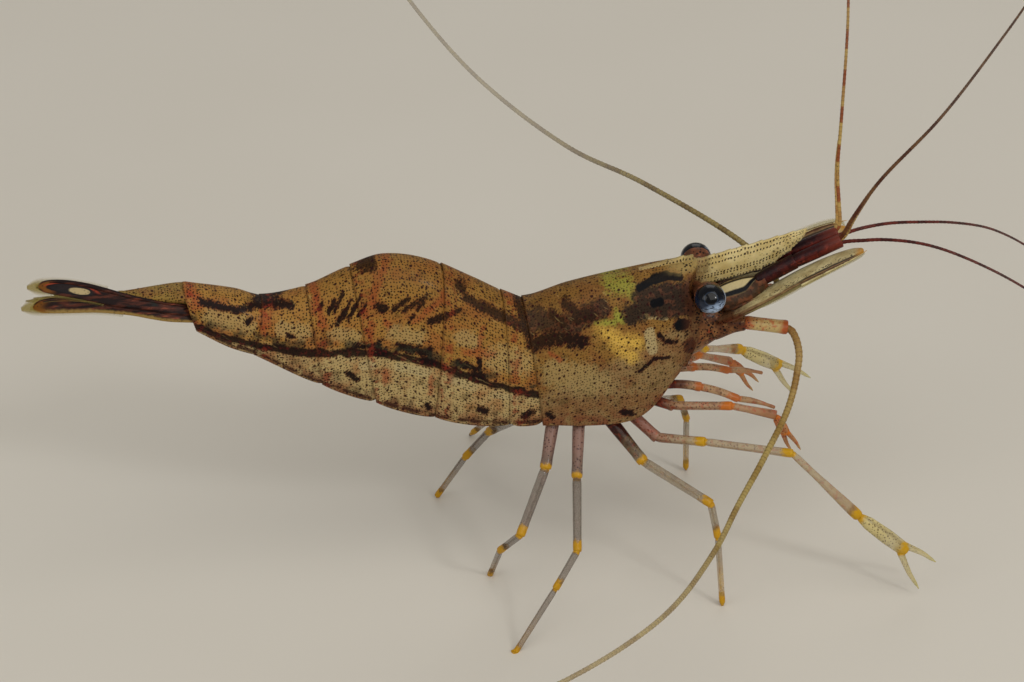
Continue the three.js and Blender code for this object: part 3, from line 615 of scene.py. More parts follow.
# %% Clouds and strokes of the shell
def shell_ground(paint, level, upper, lower, warm):
    """Two grounds that meet at the flank line, where level is 0, and four sizes of cloud."""
    paint.ground((level + paint.cloud(0.8) * 0.6).ramp(0.9, -0.2), upper, lower)
    paint.layer(paint.cloud(1.5, 3.0).ramp(0.42, 0.68) * 0.6, warm)
    paint.layer(paint.cloud(0.8, 3.0).ramp(0.52, 0.72) * 0.55, (84, 62, 30))
    paint.layer(paint.cloud(0.45, 4.0).ramp(0.58, 0.74) * 0.5, (164, 128, 70))
    paint.layer(paint.cloud(0.3, 3.0).ramp(0.56, 0.7) * 0.45, (118, 62, 36))


def shell_strokes(paint, flank_line):
    """The strokes, kind by kind. Between the pale kinds and the dark ones lie red clouds near the hem,
    and grey clouds low on the flaps, partly mottling and partly painted shade towards the hem."""
    paint.layer(frayed(paint, "tan", 0.4, 1.0, 0.0, 0.7) * 0.6, (172, 150, 98))
    paint.layer(frayed(paint, "gold", 0.5, 1.0, 0.05, 1.1), (208, 168, 76))
    paint.layer(frayed(paint, "green", 0.4, 1.4, 0.05, 0.95) * 0.9, (152, 152, 62))
    paint.layer(frayed(paint, "pale", 0.4, 0.4, 0.2, 0.5) * 0.75, (182, 164, 118))
    paint.layer(frayed(paint, "red", 0.3, 1.1, 0.2, 0.9) * 0.6, (150, 66, 38))
    hem = paint.mark("hem")
    hem_red = paint.cloud(0.7, 3.0).ramp(0.4, 0.58) * hem.ramp(1.5, 0.2)
    paint.layer(hem_red * 0.65, (122, 58, 40))
    # Grey clouds low on the flaps: partly mottling, partly painted shade towards the hem.
    flap_mottle_and_shade = paint.cloud(0.6, 4.0).ramp(0.5, 0.62) * hem.ramp(1.9, 1.0) * flank_line
    paint.layer(flap_mottle_and_shade * 0.5, (92, 76, 52))
    paint.layer(frayed(paint, "gut", 0.35, 1.0, 0.0, 0.5) * 0.95, (40, 32, 28))
    gut_stir = paint.cloud(0.4, 4.0).ramp(0.5, 0.68) * paint.mark("gut").ramp(0.1, 0.5)
    paint.layer(gut_stir * 0.65, (110, 66, 46))
    paint.layer(frayed(paint, "dark", 0.3, 1.5, 0.0, 0.5) * 0.75, (88, 42, 26))
    paint.layer(frayed(paint, "dark", 0.22, 1.6, 0.2, 0.62) * 0.96, (24, 13, 13))


print("kinds of stroke:", sorted(STROKES))

# %% [markdown]
# ## Stripe, folds and seams
# Low on the flank a dark stripe runs the length of the tail. It could be drawn as one more stroke, but it
# has to follow the flank line closely. So the mesh carries the height above that line as the mark level,
# and the stripe is a band of it that swells and thins with noise. In the same way the mark hem, the height
# above a flap's edge, gives the fine folds along it, and the mark rear, the distance ahead of a ring's
# rear edge, gives the red seams.


# %% Marks that follow the body's lines
FOLD_SPACING = 0.14


def flank_marks(paint, level, flank_line):
    """Bands of the marks. A band is 1 near its middle value, and flank_line switches all of them."""
    wave = level + paint.stir(0.7, 0.5, 3.0)
    above = wave.near(0.55, 0.6, 0.1) * paint.cloud(0.8, 3.0).ramp(0.45, 0.6) * flank_line
    paint.layer(above * 0.7, (52, 50, 36))
    below = wave.near(-0.55, 0.55, 0.15) * paint.cloud(0.9).ramp(0.45, 0.58) * flank_line
    paint.layer(below * 0.6, (176, 152, 104))
    thickness = paint.cloud(0.8, 3.0) * 0.6 + 0.02
    stripe = ((wave - 0.03).fold() / thickness).ramp(1.2, 0.6) * flank_line
    blood = paint.mix(paint.cloud(0.35).ramp(0.5, 0.68), (22, 8, 10), (72, 16, 18))
    paint.layer(stripe * 0.95, blood)
    hem = paint.mark("hem")
    folds = (hem * (math.tau / FOLD_SPACING) + paint.cloud(1.2) * 3.0).ripple().ramp(0.55, 0.85)
    folds = folds * hem.ramp(0.62, 0.4) * paint.cloud(0.9).ramp(0.36, 0.5) * flank_line
    paint.layer(folds * 0.75, (70, 38, 26))
    drip = hem.near(0.28, 0.2, 0.06) * paint.cloud(0.6).ramp(0.4, 0.52) * flank_line
    paint.layer(drip * 0.8, (50, 20, 16))
    seam = paint.mark("rear").near(0.1, 0.5, 0.1) * paint.cloud(0.6, 3.0).ramp(0.46, 0.62) * flank_line
    paint.layer(seam * 0.6, (134, 46, 30))


print("folds along the hem, one every", FOLD_SPACING, "mm")

# %% [markdown]
# ## Finish of the shell
# The tail, the carapace and the telson share one finish, with other grounds. After the layers above come
# a back darkened to brown, which is painted shade that offsets the lamps' sheen on top, faint slanting
# glints, which are painted highlights, the specks, the black marks, painted shade on the overhanging rear
# rim of each ring at its seam, and the changes towards the eyes, where the shell is pale on top and
# red-brown below. Gloss is low, with hardly any coat, and a little light scattered below the surface keeps
# the shell from looking like painted wood.


# %% Three shell finishes
def shell_finish(name, upper, lower, warm, flank_line, small_specks):
    """The shell of one region: upper and lower ground colours, the warm cast of its clouds, and how
    strongly the marks of the flank line and the small specks show."""
    paint = Paint(name)
    level = paint.mark("level")
    shell_ground(paint, level, upper, lower, warm)
    shell_strokes(paint, flank_line)
    flank_marks(paint, level, flank_line)
    # The back darkens to brown with height: painted shade that offsets the lamps' sheen on the top.
    paint.layer(level.ramp(2.0, 5.5) * 0.3, (96, 64, 24))
    # Faint pale slanting streaks are painted highlights: glints laid into the colour.
    painted_glint = paint.cloud(0.5, 2.0, paint.turned(-0.6, (0.35, 1.0, 2.6))).ramp(0.64, 0.74)
    paint.layer(painted_glint * 0.2, (200, 170, 110))
    specks(paint, small_specks)
    black = (paint.mark("black") + paint.stir(0.2, 0.3)).ramp(0.05, 0.3)
    paint.layer(black * 0.97, (9, 11, 15))
    # The overhanging rear rim of each ring is darkened: painted shade along the seam between rings.
    seam_rim_shade = paint.mark("rear").ramp(-0.1, -0.22)
    paint.layer(seam_rim_shade * 0.4, (70, 44, 24))
    ahead = paint.axis("x")
    high = paint.axis("z") + paint.stir(0.4, 0.3)
    paint.layer(ahead.ramp(9.3, 10.8) * high.ramp(21.1, 21.5) * 0.75, (164, 142, 88))
    paint.layer(ahead.ramp(10.5, 11.4) * high.ramp(21.3, 20.9) * 0.7, (84, 46, 28))
    paint.layer(paint.dots(0.24, 0.075) * ahead.ramp(10.2, 11.2), (30, 18, 14))
    grain = paint.cloud(0.12, 3.0) + paint.cloud(0.5) * 1.5
    rough = 0.42 + 0.16 * paint.cloud(0.6)
    glow = (0.05, (0.6, 0.3, 0.12), 0.0005)
    return paint.finish(rough, grain, 0.03, (0.03, 0.15), glow, Specular_IOR_Level=0.07)


tail_low, tail_warm = (184, 160, 108), (148, 84, 42)
tail_shell = shell_finish("tail_shell", (160, 118, 56), tail_low, tail_warm, 1.0, 1.0)
front_low, front_warm = (144, 117, 76), (126, 80, 46)
front_shell = shell_finish("front_shell", (138, 101, 48), front_low, front_warm, 0.0, 0.72)
telson_low, telson_warm = (126, 90, 48), (128, 72, 44)
telson_shell = shell_finish("telson_shell", (142, 114, 56), telson_low, telson_warm, 0.0, 1.0)

# %% [markdown]
# ## Plates of the shell
# Each ring of the tail is a roof with two flaps that hang past the belly, and the front of each slides
# under the ring before it. A solid could be hollowed out for each, but one surface is cleaner. Its loop
# runs up the right flap, over the back and down the left one, round the hem, and back along the inner
# faces and the belly. Rows of that loop lie from the rear seam to under the ring before, slanted as the
# rings are, and taken closer together near both seams.

# %% The grid of a plate
SHOULDER, TUCK_IN, FLAP = 0.58, 0.14, 0.2
OVERHANG, EVEN_ROWS = 0.22, 0.65
# Each plate: the x of its rear seam on the back and at the hem, and the same for its front seam.
PLATES = {
    "carapace": ((0.95, 1.95), (11.4, 11.35)),
    "abdomen_1": ((-0.4, -0.1), (0.65, 1.6)),
    "abdomen_2": ((-4.2, -5.0), (-0.7, -0.4)),
    "abdomen_3": ((-10.1, -8.9), (-4.5, -5.3)),
    "abdomen_4": ((-12.95, -12.2), (-10.4, -9.2)),
    "abdomen_5": ((-15.8, -16.4), (-13.25, -12.5)),
    "abdomen_6": ((-20.75, -20.1), (-16.1, -16.7)),
}


def arch(share):
    """Half-width of a section at a share of its depth: a round roof down to the shoulder, then a flap
    that turns in towards its hem with the square of the way down."""
    roof = np.sqrt(np.clip(1 - (1 - share / SHOULDER) ** 2, 0, 1)) ** 0.92
    return np.where(share < SHOULDER, roof, 1 - TUCK_IN * ((share - SHOULDER) / (1 - SHOULDER)) ** 2)


def plate_points(name, rows, half_columns, overlap, flare, corner):
    """The grid of one plate and, for its rows, how far each stands in front of the rear seam. Every row
    is the arch times the body's half-width, set along a slanted line from the back to the hem.
    overlap is how far it slides under the plate before it, flare narrows it towards the front, and
    corner rounds off the ends of its hem."""
    (back_rear, hem_rear), (back_front, hem_front) = PLATES[name]
    run = back_front - back_rear
    bunched = (1 - np.cos(np.linspace(0, math.pi, rows))) / 2
    step = -OVERHANG / run + (1 + (OVERHANG + overlap) / run) * bunched
    step = (1 - EVEN_ROWS) * step + EVEN_ROWS * np.linspace(step[0], step[-1], rows)
    top_x = back_rear + step * run
    low_x = hem_rear + step * (hem_front - hem_rear)
    top = np.stack([top_x, 0 * top_x, height(BACK, top_x)], 1)
    down = np.stack([low_x, 0 * low_x, height(HEM, low_x)], 1) - top
    depth = np.linalg.norm(down, axis=1)
    # The share of the way down where the belly lies is homed in on, because the section is slanted.
    belly = np.full(rows, 0.7)
    for _ in range(6):
        belly = (top[:, 2] - height(BELLY, top_x + belly * down[:, 0])) / -down[:, 2]
    hem = 1 - corner * np.clip(np.abs(2 * step - 1), 0, 1.3) ** 4
    belly = np.minimum(belly, hem - 0.3 / depth)
    under = rise(step, 1 - 0.25 / run, 1 + 0.5 * overlap / run)
    lip = 0.004 * hill(step * run, -0.1, 0.4)
    grow = 1 - flare * step - 0.04 * under + lip + 0.01 * np.sin(math.pi * step.clip(0, 1))
    half = height(WIDTH, (top_x + low_x) / 2) * grow

    turn = np.linspace(0, math.pi / 2, half_columns * 3 // 5)
    roof = SHOULDER * (1 - np.cos(turn))
    share = np.concatenate([roof, np.linspace(SHOULDER, 1, half_columns - len(roof) + 1)[1:]])
    share = share[None, :] * hem[:, None]
    outer = half[:, None] * arch(share)
    inner_share = np.maximum(share, belly[:, None])
    inner = (half[:, None] * arch(inner_share) - FLAP).clip(0.05)
    inner = inner * np.minimum(arch(share), 1)
    sag = 0.03 * np.cos(math.pi / 2 * np.minimum(arch(share), 1)) * (share < belly[:, None])

    bend = math.pi * np.arange(1, 5) / 5
    roll = outer[:, -1:] - FLAP / 2 + FLAP / 2 * np.cos(bend)
    roll_share = hem[:, None] + FLAP / 2 * np.sin(bend) / depth[:, None]
    inner_share = inner_share + sag
    y = [-roll[:, 1::-1], -outer[:, ::-1], outer[:, 1:], roll, inner[:, ::-1], -inner[:, 1:], -roll[:, :1:-1]]
    s = [roll_share[:, 1::-1], share[:, ::-1], share[:, 1:], roll_share]
    s += [inner_share[:, ::-1], inner_share[:, 1:], roll_share[:, :1:-1]]
    y, s = np.concatenate(y, 1), np.concatenate(s, 1)
    centre = top + 0.5 * down
    grid = centre[:, None] + ((s - 0.5) * grow[:, None])[..., None] * down[:, None]
    grid[..., 1] += y
    return grid, step * run


print("rows of a plate reach", OVERHANG, "mm behind its seam")

# %% [markdown]
# ## Ends and marks of a plate
# Point for point, the way back of a plate's loop mirrors its way out. So halving between the two closes
# the ends of the plate as a thin rounded lip, with no cap to fit. The marks are then read at every point,
# and they are what ties the pigment to the shape.

# %% Close a plate and mark it
LIP = 0.04
# In front of this x the carapace has no flank line of its own, and a straight slope goes on from it.
FLANK_END, FLANK_HEIGHT, FLANK_SLOPE = 1.5, 13.8, 0.5


def close_plate(grid, ahead):
    """Adds the rows that round off and close both ends of a plate: the first two turn inwards by LIP, and
    in the third each point meets the one it mirrors."""
    rows, steps = [grid], [ahead]
    for end, way in ((0, -1), (-1, 1)):
        edge = grid[end]
        middle = (edge + edge[::-1]) / 2
        inward = middle - edge
        inward = inward / np.linalg.norm(inward, axis=1, keepdims=True).clip(1e-6)
        out = np.array([way * LIP, 0, 0])
        soft = edge + inward * 0.3 * LIP + 0.7 * out
        flat = edge + inward * LIP + out
        shut = np.stack([soft, flat, middle + out])
        shut_ahead = np.full(3, ahead[end])
        rows = [shut[::-1], *rows] if end == 0 else [*rows, shut]
        steps = [shut_ahead, *steps] if end == 0 else [*steps, shut_ahead]
    return np.concatenate(rows), np.concatenate(steps)


def plate_marks(grid, ahead):
    """What the shell's finish reads: height above the flank line and above the hem, the distance ahead
    of the rear edge, the way round from the midline, and the strokes."""
    x, z = grid[..., 0], grid[..., 2]
    way_round = run_along(grid)
    way_round = way_round - way_round[:, np.argmax(z[len(z) // 2])][:, None]
    level = np.where(x > FLANK_END, z - FLANK_HEIGHT - (x - FLANK_END) * FLANK_SLOPE, z - height(FLANK, x))
    marks = {"level": level, "hem": z - height(HEM, x), "rear": ahead[:, None] + 0 * x, "round": way_round}
    return {**marks, **stroke_marks(grid)}


for name, rows, overlap, flare, corner in (
    ("abdomen_1", 40, 0.75, 0.01, 0.01),
    ("abdomen_2", 80, 0.8, 0.01, 0.012),
    ("abdomen_3", 100, 0.8, 0.012, 0.012),
    ("abdomen_4", 60, 0.7, 0.016, 0.012),
    ("abdomen_5", 60, 0.7, 0.016, 0.015),
    ("abdomen_6", 90, 0.7, 0.016, 0.015),
):
    grid, ahead = close_plate(*plate_points(name, rows, 60, overlap, flare, corner))
    make_piece(name, [(grid, plate_marks(grid, ahead))], tail_shell, "tail_plates", name)

# %% [markdown]
# ## Carapace
# The carapace is the largest plate. Its front edge is cut away round each eye, juts out as a small spine
# below it and sweeps back to the hem. The edge is a function of the way down the section, added to the
# plate's front rows. Whatever still comes too close to an eye is pushed out to a ball round that eye,
# which leaves the smooth orbit.

# %% Carapace
EYE_GAP = 0.14


def dent(grid, centre, radius):
    """Points inside a ball are pushed out to its surface."""
    away = grid - centre
    distance = np.linalg.norm(away, axis=-1, keepdims=True)
    return centre + away * np.maximum(1, radius / distance.clip(1e-6))


def carapace_grid():
    """The plate with its front edge moved along x, and with the gill chamber, a groove and a ridge moved
    along y. Each of these is a bell curve of the way down, times one or a rise along x."""
    grid, ahead = plate_points("carapace", 170, 90, 0.35, 0.02, 0.0)
    x, z = grid[..., 0].copy(), grid[..., 2]
    way_down = (height(BACK, x) - z) / (height(BACK, x) - height(HEM, x))
    orbit, spine = -0.55 * hill(way_down, 0.2, 0.13), 0.35 * hill(way_down, 0.42, 0.03)
    cheek, sweep = 0.18 * hill(way_down, 0.62, 0.05), -0.5 * rise(way_down, 0.7, 1.0)
    beak = 0.5 * hill(way_down, 0, 0.05) * rise(x, 9.6, 11.6) * (np.abs(grid[..., 1]) < 1.4)
    grid[..., 0] += (orbit + spine + cheek + sweep) * rise(x, 8.6, 11.6) + beak
    side = np.sign(grid[..., 1])
    gill = 0.05 * hill(x, 5.2, 3.2) * hill(way_down, 0.62, 0.25)
    groove = -0.07 * hill(x - 0.35 * (z - 17), 8.3, 0.28) * hill(way_down, 0.35, 0.25)
    ridge = 0.06 * hill(way_down, 0.43, 0.03) * rise(x, 8.0, 10.5)
    grid[..., 1] += side * (gill + groove + ridge) * (np.abs(grid[..., 1]) > 0.3)
    grid, ahead = close_plate(grid, ahead)
    for y in (EYE[1], -EYE[1]):
        grid = dent(grid, (EYE[0], y, EYE[2]), EYE_RADIUS + EYE_GAP)
    return grid, ahead


grid, ahead = carapace_grid()
make_piece("carapace", [(grid, plate_marks(grid, ahead))], front_shell, "carapace", "carapace")

# %% [markdown]
# ## Rostrum
# The rostrum is the toothed blade between the eyes. It is clear like horn, freckled in rows that run along
# its edges and its rib, and browner where it joins the head. Glass would look empty on a pale floor, so it
# is a pale ground with an alpha a little below 1, which drops further between the eyes.

# %% Rostrum finish
# Where the rows of freckles lie, as values of the mark rib.
ROSTRUM_DOT_ROWS = (0.86, 0.5, -0.28, -0.46, -0.92)


def rostrum_finish():
    """Pale and clear, with rows of beaded freckles. The mark called back is 1 over the carapace and 0 on
    the free blade, and the mark rib goes from -1 on the lower edge to 1 on the upper one."""
    paint = Paint("rostrum_blade")
    paint.ground(paint.cloud(1.0).ramp(0.3, 0.7), (232, 213, 154), (206, 182, 118))
    paint.layer(paint.mark("back").ramp(0.2, 0.9) * 0.7, (146, 116, 60))
    ahead, high, rib = paint.axis("x"), paint.axis("z"), paint.mark("rib")
    root = ahead.ramp(13.0, 11.5) * high.ramp(21.5, 20.7)
    paint.layer(root * 0.75, (132, 84, 46))
    paint.layer(root * paint.cloud(0.35, 3.0).ramp(0.5, 0.66), (96, 52, 32))
    rows = rib.near(ROSTRUM_DOT_ROWS[0], 0.09, 0.03)
    for row in ROSTRUM_DOT_ROWS[1:]:
        rows = rows.at_least(rib.near(row, 0.09, 0.03))
    beads = (ahead * (math.tau / 0.21) + paint.cloud(0.6) * 7.0).ripple()
    paint.layer(rows * beads.ramp(0.45, 0.7), (48, 32, 18))
    paint.layer(paint.dots(0.2, 0.045) * 0.6, (76, 54, 30))
    paint.layer(paint.dots(0.4, 0.075) * 0.7, (60, 40, 24))
    between_eyes = ahead.ramp(11.0, 11.4) * ahead.ramp(13.0, 12.6) * high.ramp(20.6, 20.9)
    clear = 0.95 - 0.08 * paint.cloud(0.8) - 0.5 * between_eyes
    glow = (0.1, (0.6, 0.4, 0.2), 0.0005)
    return paint.finish(0.3, paint.cloud(0.15, 3.0), 0.02, (0.12, 0.1), glow, Alpha=clear)


rostrum_blade = rostrum_finish()

# %% [markdown]
# ## Shape of the rostrum
# The blade is thin at its toothed edges and thicker along a rib. A flat plate with teeth cut out of it
# would have sharp steps, so each row across is a flat loop from the lower edge to the upper one and back,
# and the teeth are a sawtooth in the height of the edges.

# %% Rostrum blade
ROSTRUM_TOP = [(8.2, 21.2), (11.75, 21.55), (19.1, 23.35)]
ROSTRUM_UNDER = [
    (8.2, 20.6), (11.75, 19.75), (13.1, 19.9), (15.2, 20.35), (17.0, 21.05), (18.7, 22.5), (19.1, 23.1),
]
# Teeth along an edge: the x where they start and where they end, their number and their height.
UPPER_TEETH, LOWER_TEETH = (9.2, 18.4, 9, 0.07), (15.4, 18.25, 3, 0.13)
RIB_WAY, EDGE_THICKNESS = 0.12, 0.05


def teeth(x, start, end, count, size):
    """A sawtooth: each tooth rises slowly from behind and drops at its tip, so that it points forward."""
    phase = (x - start) / (end - start) * count
    part = phase % 1
    return size * np.clip((part - 0.35) / 0.5, 0, 1) * (part < 0.9) * (phase > 0) * (phase < count)


def rostrum_grid(rows=420, half_columns=26):
    """Rows from the carapace to the tip. The half-thickness falls from the rib to both edges with the
    power 1.5 of the way across, and the whole thickness falls towards the tip."""
    (root, _), (brow, _), (tip, _) = ROSTRUM_TOP
    x = np.linspace(root, tip, rows)
    top = np.interp(x, *np.array(ROSTRUM_TOP).T)
    top = np.where(x < brow, np.maximum(top, height(BACK, x) + 0.12 * rise(x, root, 11.0)), top)
    top = top + teeth(x, *UPPER_TEETH) * (1 - 0.4 * rise(x, 18.3, 19.15))
    low = height(ROSTRUM_UNDER, x) - teeth(x, *LOWER_TEETH)
    way = np.linspace(-1, 1, half_columns)
    stout = 0.2 - 0.12 * rise(x, 12, 18.5) + 0.22 * (1 - rise(x, root, 12.0))
    thick = EDGE_THICKNESS + stout[:, None] * (1 - (np.abs(way - RIB_WAY) / (1 + RIB_WAY)) ** 1.5)
    z = (top + low)[:, None] / 2 + (top - low)[:, None] / 2 * way
    loop = np.concatenate([way, way[::-1]])
    z = np.concatenate([z, z[:, ::-1]], 1)
    y = np.concatenate([-thick, thick[:, ::-1]], 1)
    grid = np.stack([x[:, None] + 0 * z, y, z], -1)
    middle = (grid + grid[:, ::-1]) / 2
    grid = np.concatenate([middle[:1], grid, middle[-1:]])
    rows_x = np.concatenate([x[:1], x, x[-1:]])[:, None]
    return grid, {"rib": loop[None, :] + 0 * rows_x, "back": 1 - rise(rows_x, 9.0, 13.0)}


make_piece("rostrum", [rostrum_grid()], rostrum_blade, "rostrum", "rostrum")

# %% [markdown]
# ## Face
# Under the brow a block carries the feelers and the mouth. It is a row of upright ovals that grow out
# of the carapace and narrow to the front, with low swellings where each feeler is set in. Its finish has
# two sizes of specks, as the shell's has, over a warmer ground. Its surface isn't flattened to a skin as
# the shell's is, so these specks are balls in space that the surface cuts.

# %% Face: x, low and high end of each oval, and its half-width
FACE = [
    (9.8, 14.6, 19.2, 1.5), (11.0, 14.5, 19.35, 1.95), (11.8, 14.9, 19.3, 2.05),
    (12.5, 15.4, 19.15, 2.0), (13.2, 15.95, 18.95, 1.8), (13.8, 16.4, 18.7, 1.45),
    (14.2, 16.8, 18.4, 0.85),
]


def face_finish():
    paint = Paint("face_shell")
    paint.ground(paint.cloud(0.7, 3.0).ramp(0.35, 0.65), (82, 44, 26), (132, 88, 52))
    paint.layer(paint.cloud(0.4, 4.0).ramp(0.55, 0.7) * 0.6, (156, 58, 34))
    paint.layer(paint.cloud(0.25, 3.0).ramp(0.6, 0.72) * 0.6, (176, 134, 84))
    paint.layer(paint.axis("z").ramp(16.8, 15.3) * 0.5, (172, 136, 86))
    paint.layer(paint.dots(0.19, 0.062), (26, 15, 11))
    paint.layer(paint.dots(0.42, 0.09), (20, 12, 10))
    grain = paint.cloud(0.12, 3.0) + paint.cloud(0.4)
    return paint.finish(0.4, grain, 0.04, coat=(0.06, 0.15))


def face_grid(rows=70, sides=96):
    """Ovals along x, with three swellings: each is a product of bell curves of z, of y and of x."""
    x, low, high, wide = curve(np.arange(len(FACE)), FACE, np.linspace(0, len(FACE) - 1, rows)).T
    angle = 2 * math.pi * np.arange(sides) / sides
    y = wide[:, None] * np.cos(angle)
    z = (low + high)[:, None] / 2 + (high - low)[:, None] / 2 * np.sin(angle)
    x = x[:, None] + 0 * z
    socket = hill(z, 17.0, 0.55) * hill(np.abs(y), 1.5, 0.5) * hill(x, 13.0, 0.5)
    brow = hill(z, 18.9, 0.4) * hill(np.abs(y), 1.1, 0.4) * hill(x, 13.2, 0.5)
    chin = hill(z, 15.4, 0.5) * hill(np.abs(y), 0.6, 0.35) * hill(x, 12.2, 0.5)
    grid = np.stack([x + 0.18 * socket + 0.2 * brow, y * (1 + 0.1 * socket), z - 0.2 * chin], -1)
    ends = grid.mean(axis=1, keepdims=True) + 0 * grid
    grid = np.concatenate([ends[:1], grid, ends[-1:]])
    for y in (EYE[1], -EYE[1]):
        grid = dent(grid, (EYE[0], y, EYE[2]), EYE_RADIUS + 0.1)
    return grid


face_shell = face_finish()
make_piece("head", [(face_grid(), {})], face_shell, "face", "head")

# %% [markdown]
# ## Eyes
# A prawn's eye is a globe of tiny facets. Seen closely it is blue-black above, silvery blue low down at
# the front, and a darker spot, the false pupil, faces outwards. A pale ring on its front half, near the edge
# seen from above and outside, is a painted reflection. A picture of an eye on a globe would have
# seams. Here each colour depends on the direction from the eye's own middle, mirrored for the left eye.
# The facets are a fine Voronoi bump, and a smooth clear coat catches the lamps.


# %% Eyes
def eye_finish(side):
    """Colours by direction: the dot product of the way out of the eye's middle and a named way."""
    paint = Paint(f"eye_{side}")
    out = -1 if side == "right" else 1
    middle = (EYE[0], -out * EYE[1], EYE[2])
    away = paint.node("ShaderNodeVectorMath", {"operation": "SUBTRACT"}, {0: paint.place(), 1: middle})
    away = paint.node("ShaderNodeVectorMath", {"operation": "NORMALIZE"}, {0: away})

    def facing(x, y, z):
        """1 on the point of the eye that faces that way, and -1 on the far one. y counts outwards."""
        way = tuple(unit(np.array([x, out * y, z], float)))
        return paint.node("ShaderNodeVectorMath", {"operation": "DOT_PRODUCT"}, {0: away, 1: way}, "Value")

    stir = paint.stir(0.3, 0.12, 3.0)
    paint.ground((facing(-0.1, 0.3, 0.95) + stir).ramp(0.2, 0.75), (22, 36, 58), (4, 6, 12))
    streaks = paint.cloud(0.16, 3.0, paint.stretched((0.5, 1.0, 1.6)))
    low_front = (facing(0.3, 0.66, -0.68) + stir).ramp(0.4, 0.82)
    paint.layer(low_front * streaks.ramp(0.34, 0.54), (160, 182, 212))
    # A pale ring near the eye's edge, seen from above and outside, on its front half: a painted reflection.
    rim = (facing(-0.12, 0.84, 0.53) + stir * 0.4).near(0.24, 0.16, 0.05)
    paint.layer(rim * facing(1.0, 0.3, -0.1).ramp(0.3, 0.9) * 0.9, (176, 190, 206))
    outwards = facing(-0.12, 0.86, 0.5)
    paint.layer(outwards.near(0.9, 0.03, 0.0) * 0.3, (70, 88, 114))
    pupil = (outwards + stir * 0.2).ramp(0.91, 0.94)
    paint.layer(pupil, (3, 4, 6))
    paint.layer(facing(0, -1, -0.1).ramp(0.3, 0.7) * 0.7, (74, 48, 36))
    facets = paint.node("ShaderNodeTexVoronoi", None, {"Vector": paint.place(), "Scale": 1 / 0.06})
    return paint.finish(0.25, facets, 0.003, coat=(0.5, 0.02), Specular_IOR_Level=0.1)


def globe(centre, radii, rings=48, sides=64):
    """An ellipsoid round centre: rings of latitude round a pole that points along y."""
    pole = np.array([0.0, 1.0, 0.0])
    first = unit(np.cross(pole, (0.3, 0.2, 1.0)))
    second = np.cross(pole, first)
    latitude = np.linspace(0, math.pi, rings)[:, None, None]
    turn = (2 * math.pi * np.arange(sides) / sides)[None, :, None]
    ball = np.cos(latitude) * pole + np.sin(latitude) * (np.cos(turn) * first + np.sin(turn) * second)
    return np.asarray(centre) + np.asarray(radii) * ball, {}


for side, y in (("right", EYE[1]), ("left", -EYE[1])):
    ball = globe((EYE[0], y, EYE[2]), (EYE_RADIUS, EYE_RADIUS, 0.95 * EYE_RADIUS))
    make_piece(f"eye_{side}", [ball], eye_finish(side), "eye", f"eye_{side}")

# %% [markdown]
# ## Eyestalks
# Each eye sits on a short stalk that widens to a cup and closes round the globe's inner side. It is a
# tube whose half-width grows along a short line, with dark freckles over orange-brown.

# %% Eyestalks
STALK_OUT = [0.3, 0.7, 1.1, 1.5, 1.85, 2.12, 2.32]
STALK_GIRTH = [0.4, 0.48, 0.56, 0.7, 0.84, 0.94, 0.98]


def stalk_finish():
    paint = Paint("eyestalk_skin")
    paint.ground(paint.cloud(0.5, 3.0).ramp(0.35, 0.65), (112, 66, 42), (84, 54, 38))
    paint.layer(paint.cloud(0.3).ramp(0.52, 0.7) * 0.6, (168, 96, 60))
    paint.layer(paint.dots(0.24, 0.065), (26, 16, 14))
    return paint.finish(0.35, paint.cloud(0.1, 3.0), 0.02, coat=(0.12, 0.1))


stalk_skin = stalk_finish()
for name, side in SIDES.items():
    y, girth = curve(np.arange(7), np.stack([STALK_OUT, STALK_GIRTH], 1), np.linspace(0, 6, 40)).T
    line = np.stack([11.95 + 0.45 * rise(y, 0.5, 2.3), side * y, 19.8 + 0.42 * rise(y, 0.4, 2.3)], 1)
    stalk = tube(line, girth, 0.95 * girth, across=(1, 0, 0), sides=40)
    make_piece(f"eyestalk_{name}", [stalk], stalk_skin, "eyestalk", f"eyestalk_{name}")

# %% [markdown]
# ## Finish of the first feelers' bases
# The base of a first feeler has three articles. The first is broad and flat, with a hollow where the eye
# rests, and shows a clear window in black lines. The other two are a stout dark maroon rod. One finish
# serves both, because the mark share tells them apart: it runs from 0 to 1 on the flat article and is 2 on
# the rod. Across goes over the width, so the window is an ellipse in share and across.


# %% Maroon finish
def rod_layers(paint, across):
    """Maroon with pink spots and slanting veins, near-black on top and towards the head, and redder at
    the far end."""
    paint.ground(paint.cloud(0.5, 4.0).ramp(0.35, 0.65), (52, 16, 14), (98, 36, 28))
    paint.layer(paint.cloud(0.3, 3.0).ramp(0.56, 0.72) * 0.65, (164, 76, 54))
    veins = paint.cloud(0.7, 4.0, paint.turned(0.42, (0.3, 1.5, 2.0)))
    paint.layer(veins.ramp(0.5, 0.62) * 0.85, (22, 10, 18))
    ahead = paint.axis("x")
    paint.layer(ahead.ramp(19.0, 16.2) * 0.6, (28, 13, 18))
    ridge = (across.fold() + paint.stir(0.4, 0.9, 3.0)).ramp(0.95, 0.6)
    paint.layer(ridge * 0.75, (24, 11, 16))
    paint.layer(ahead.ramp(19.6, 21.2) * 0.5, (146, 68, 52))


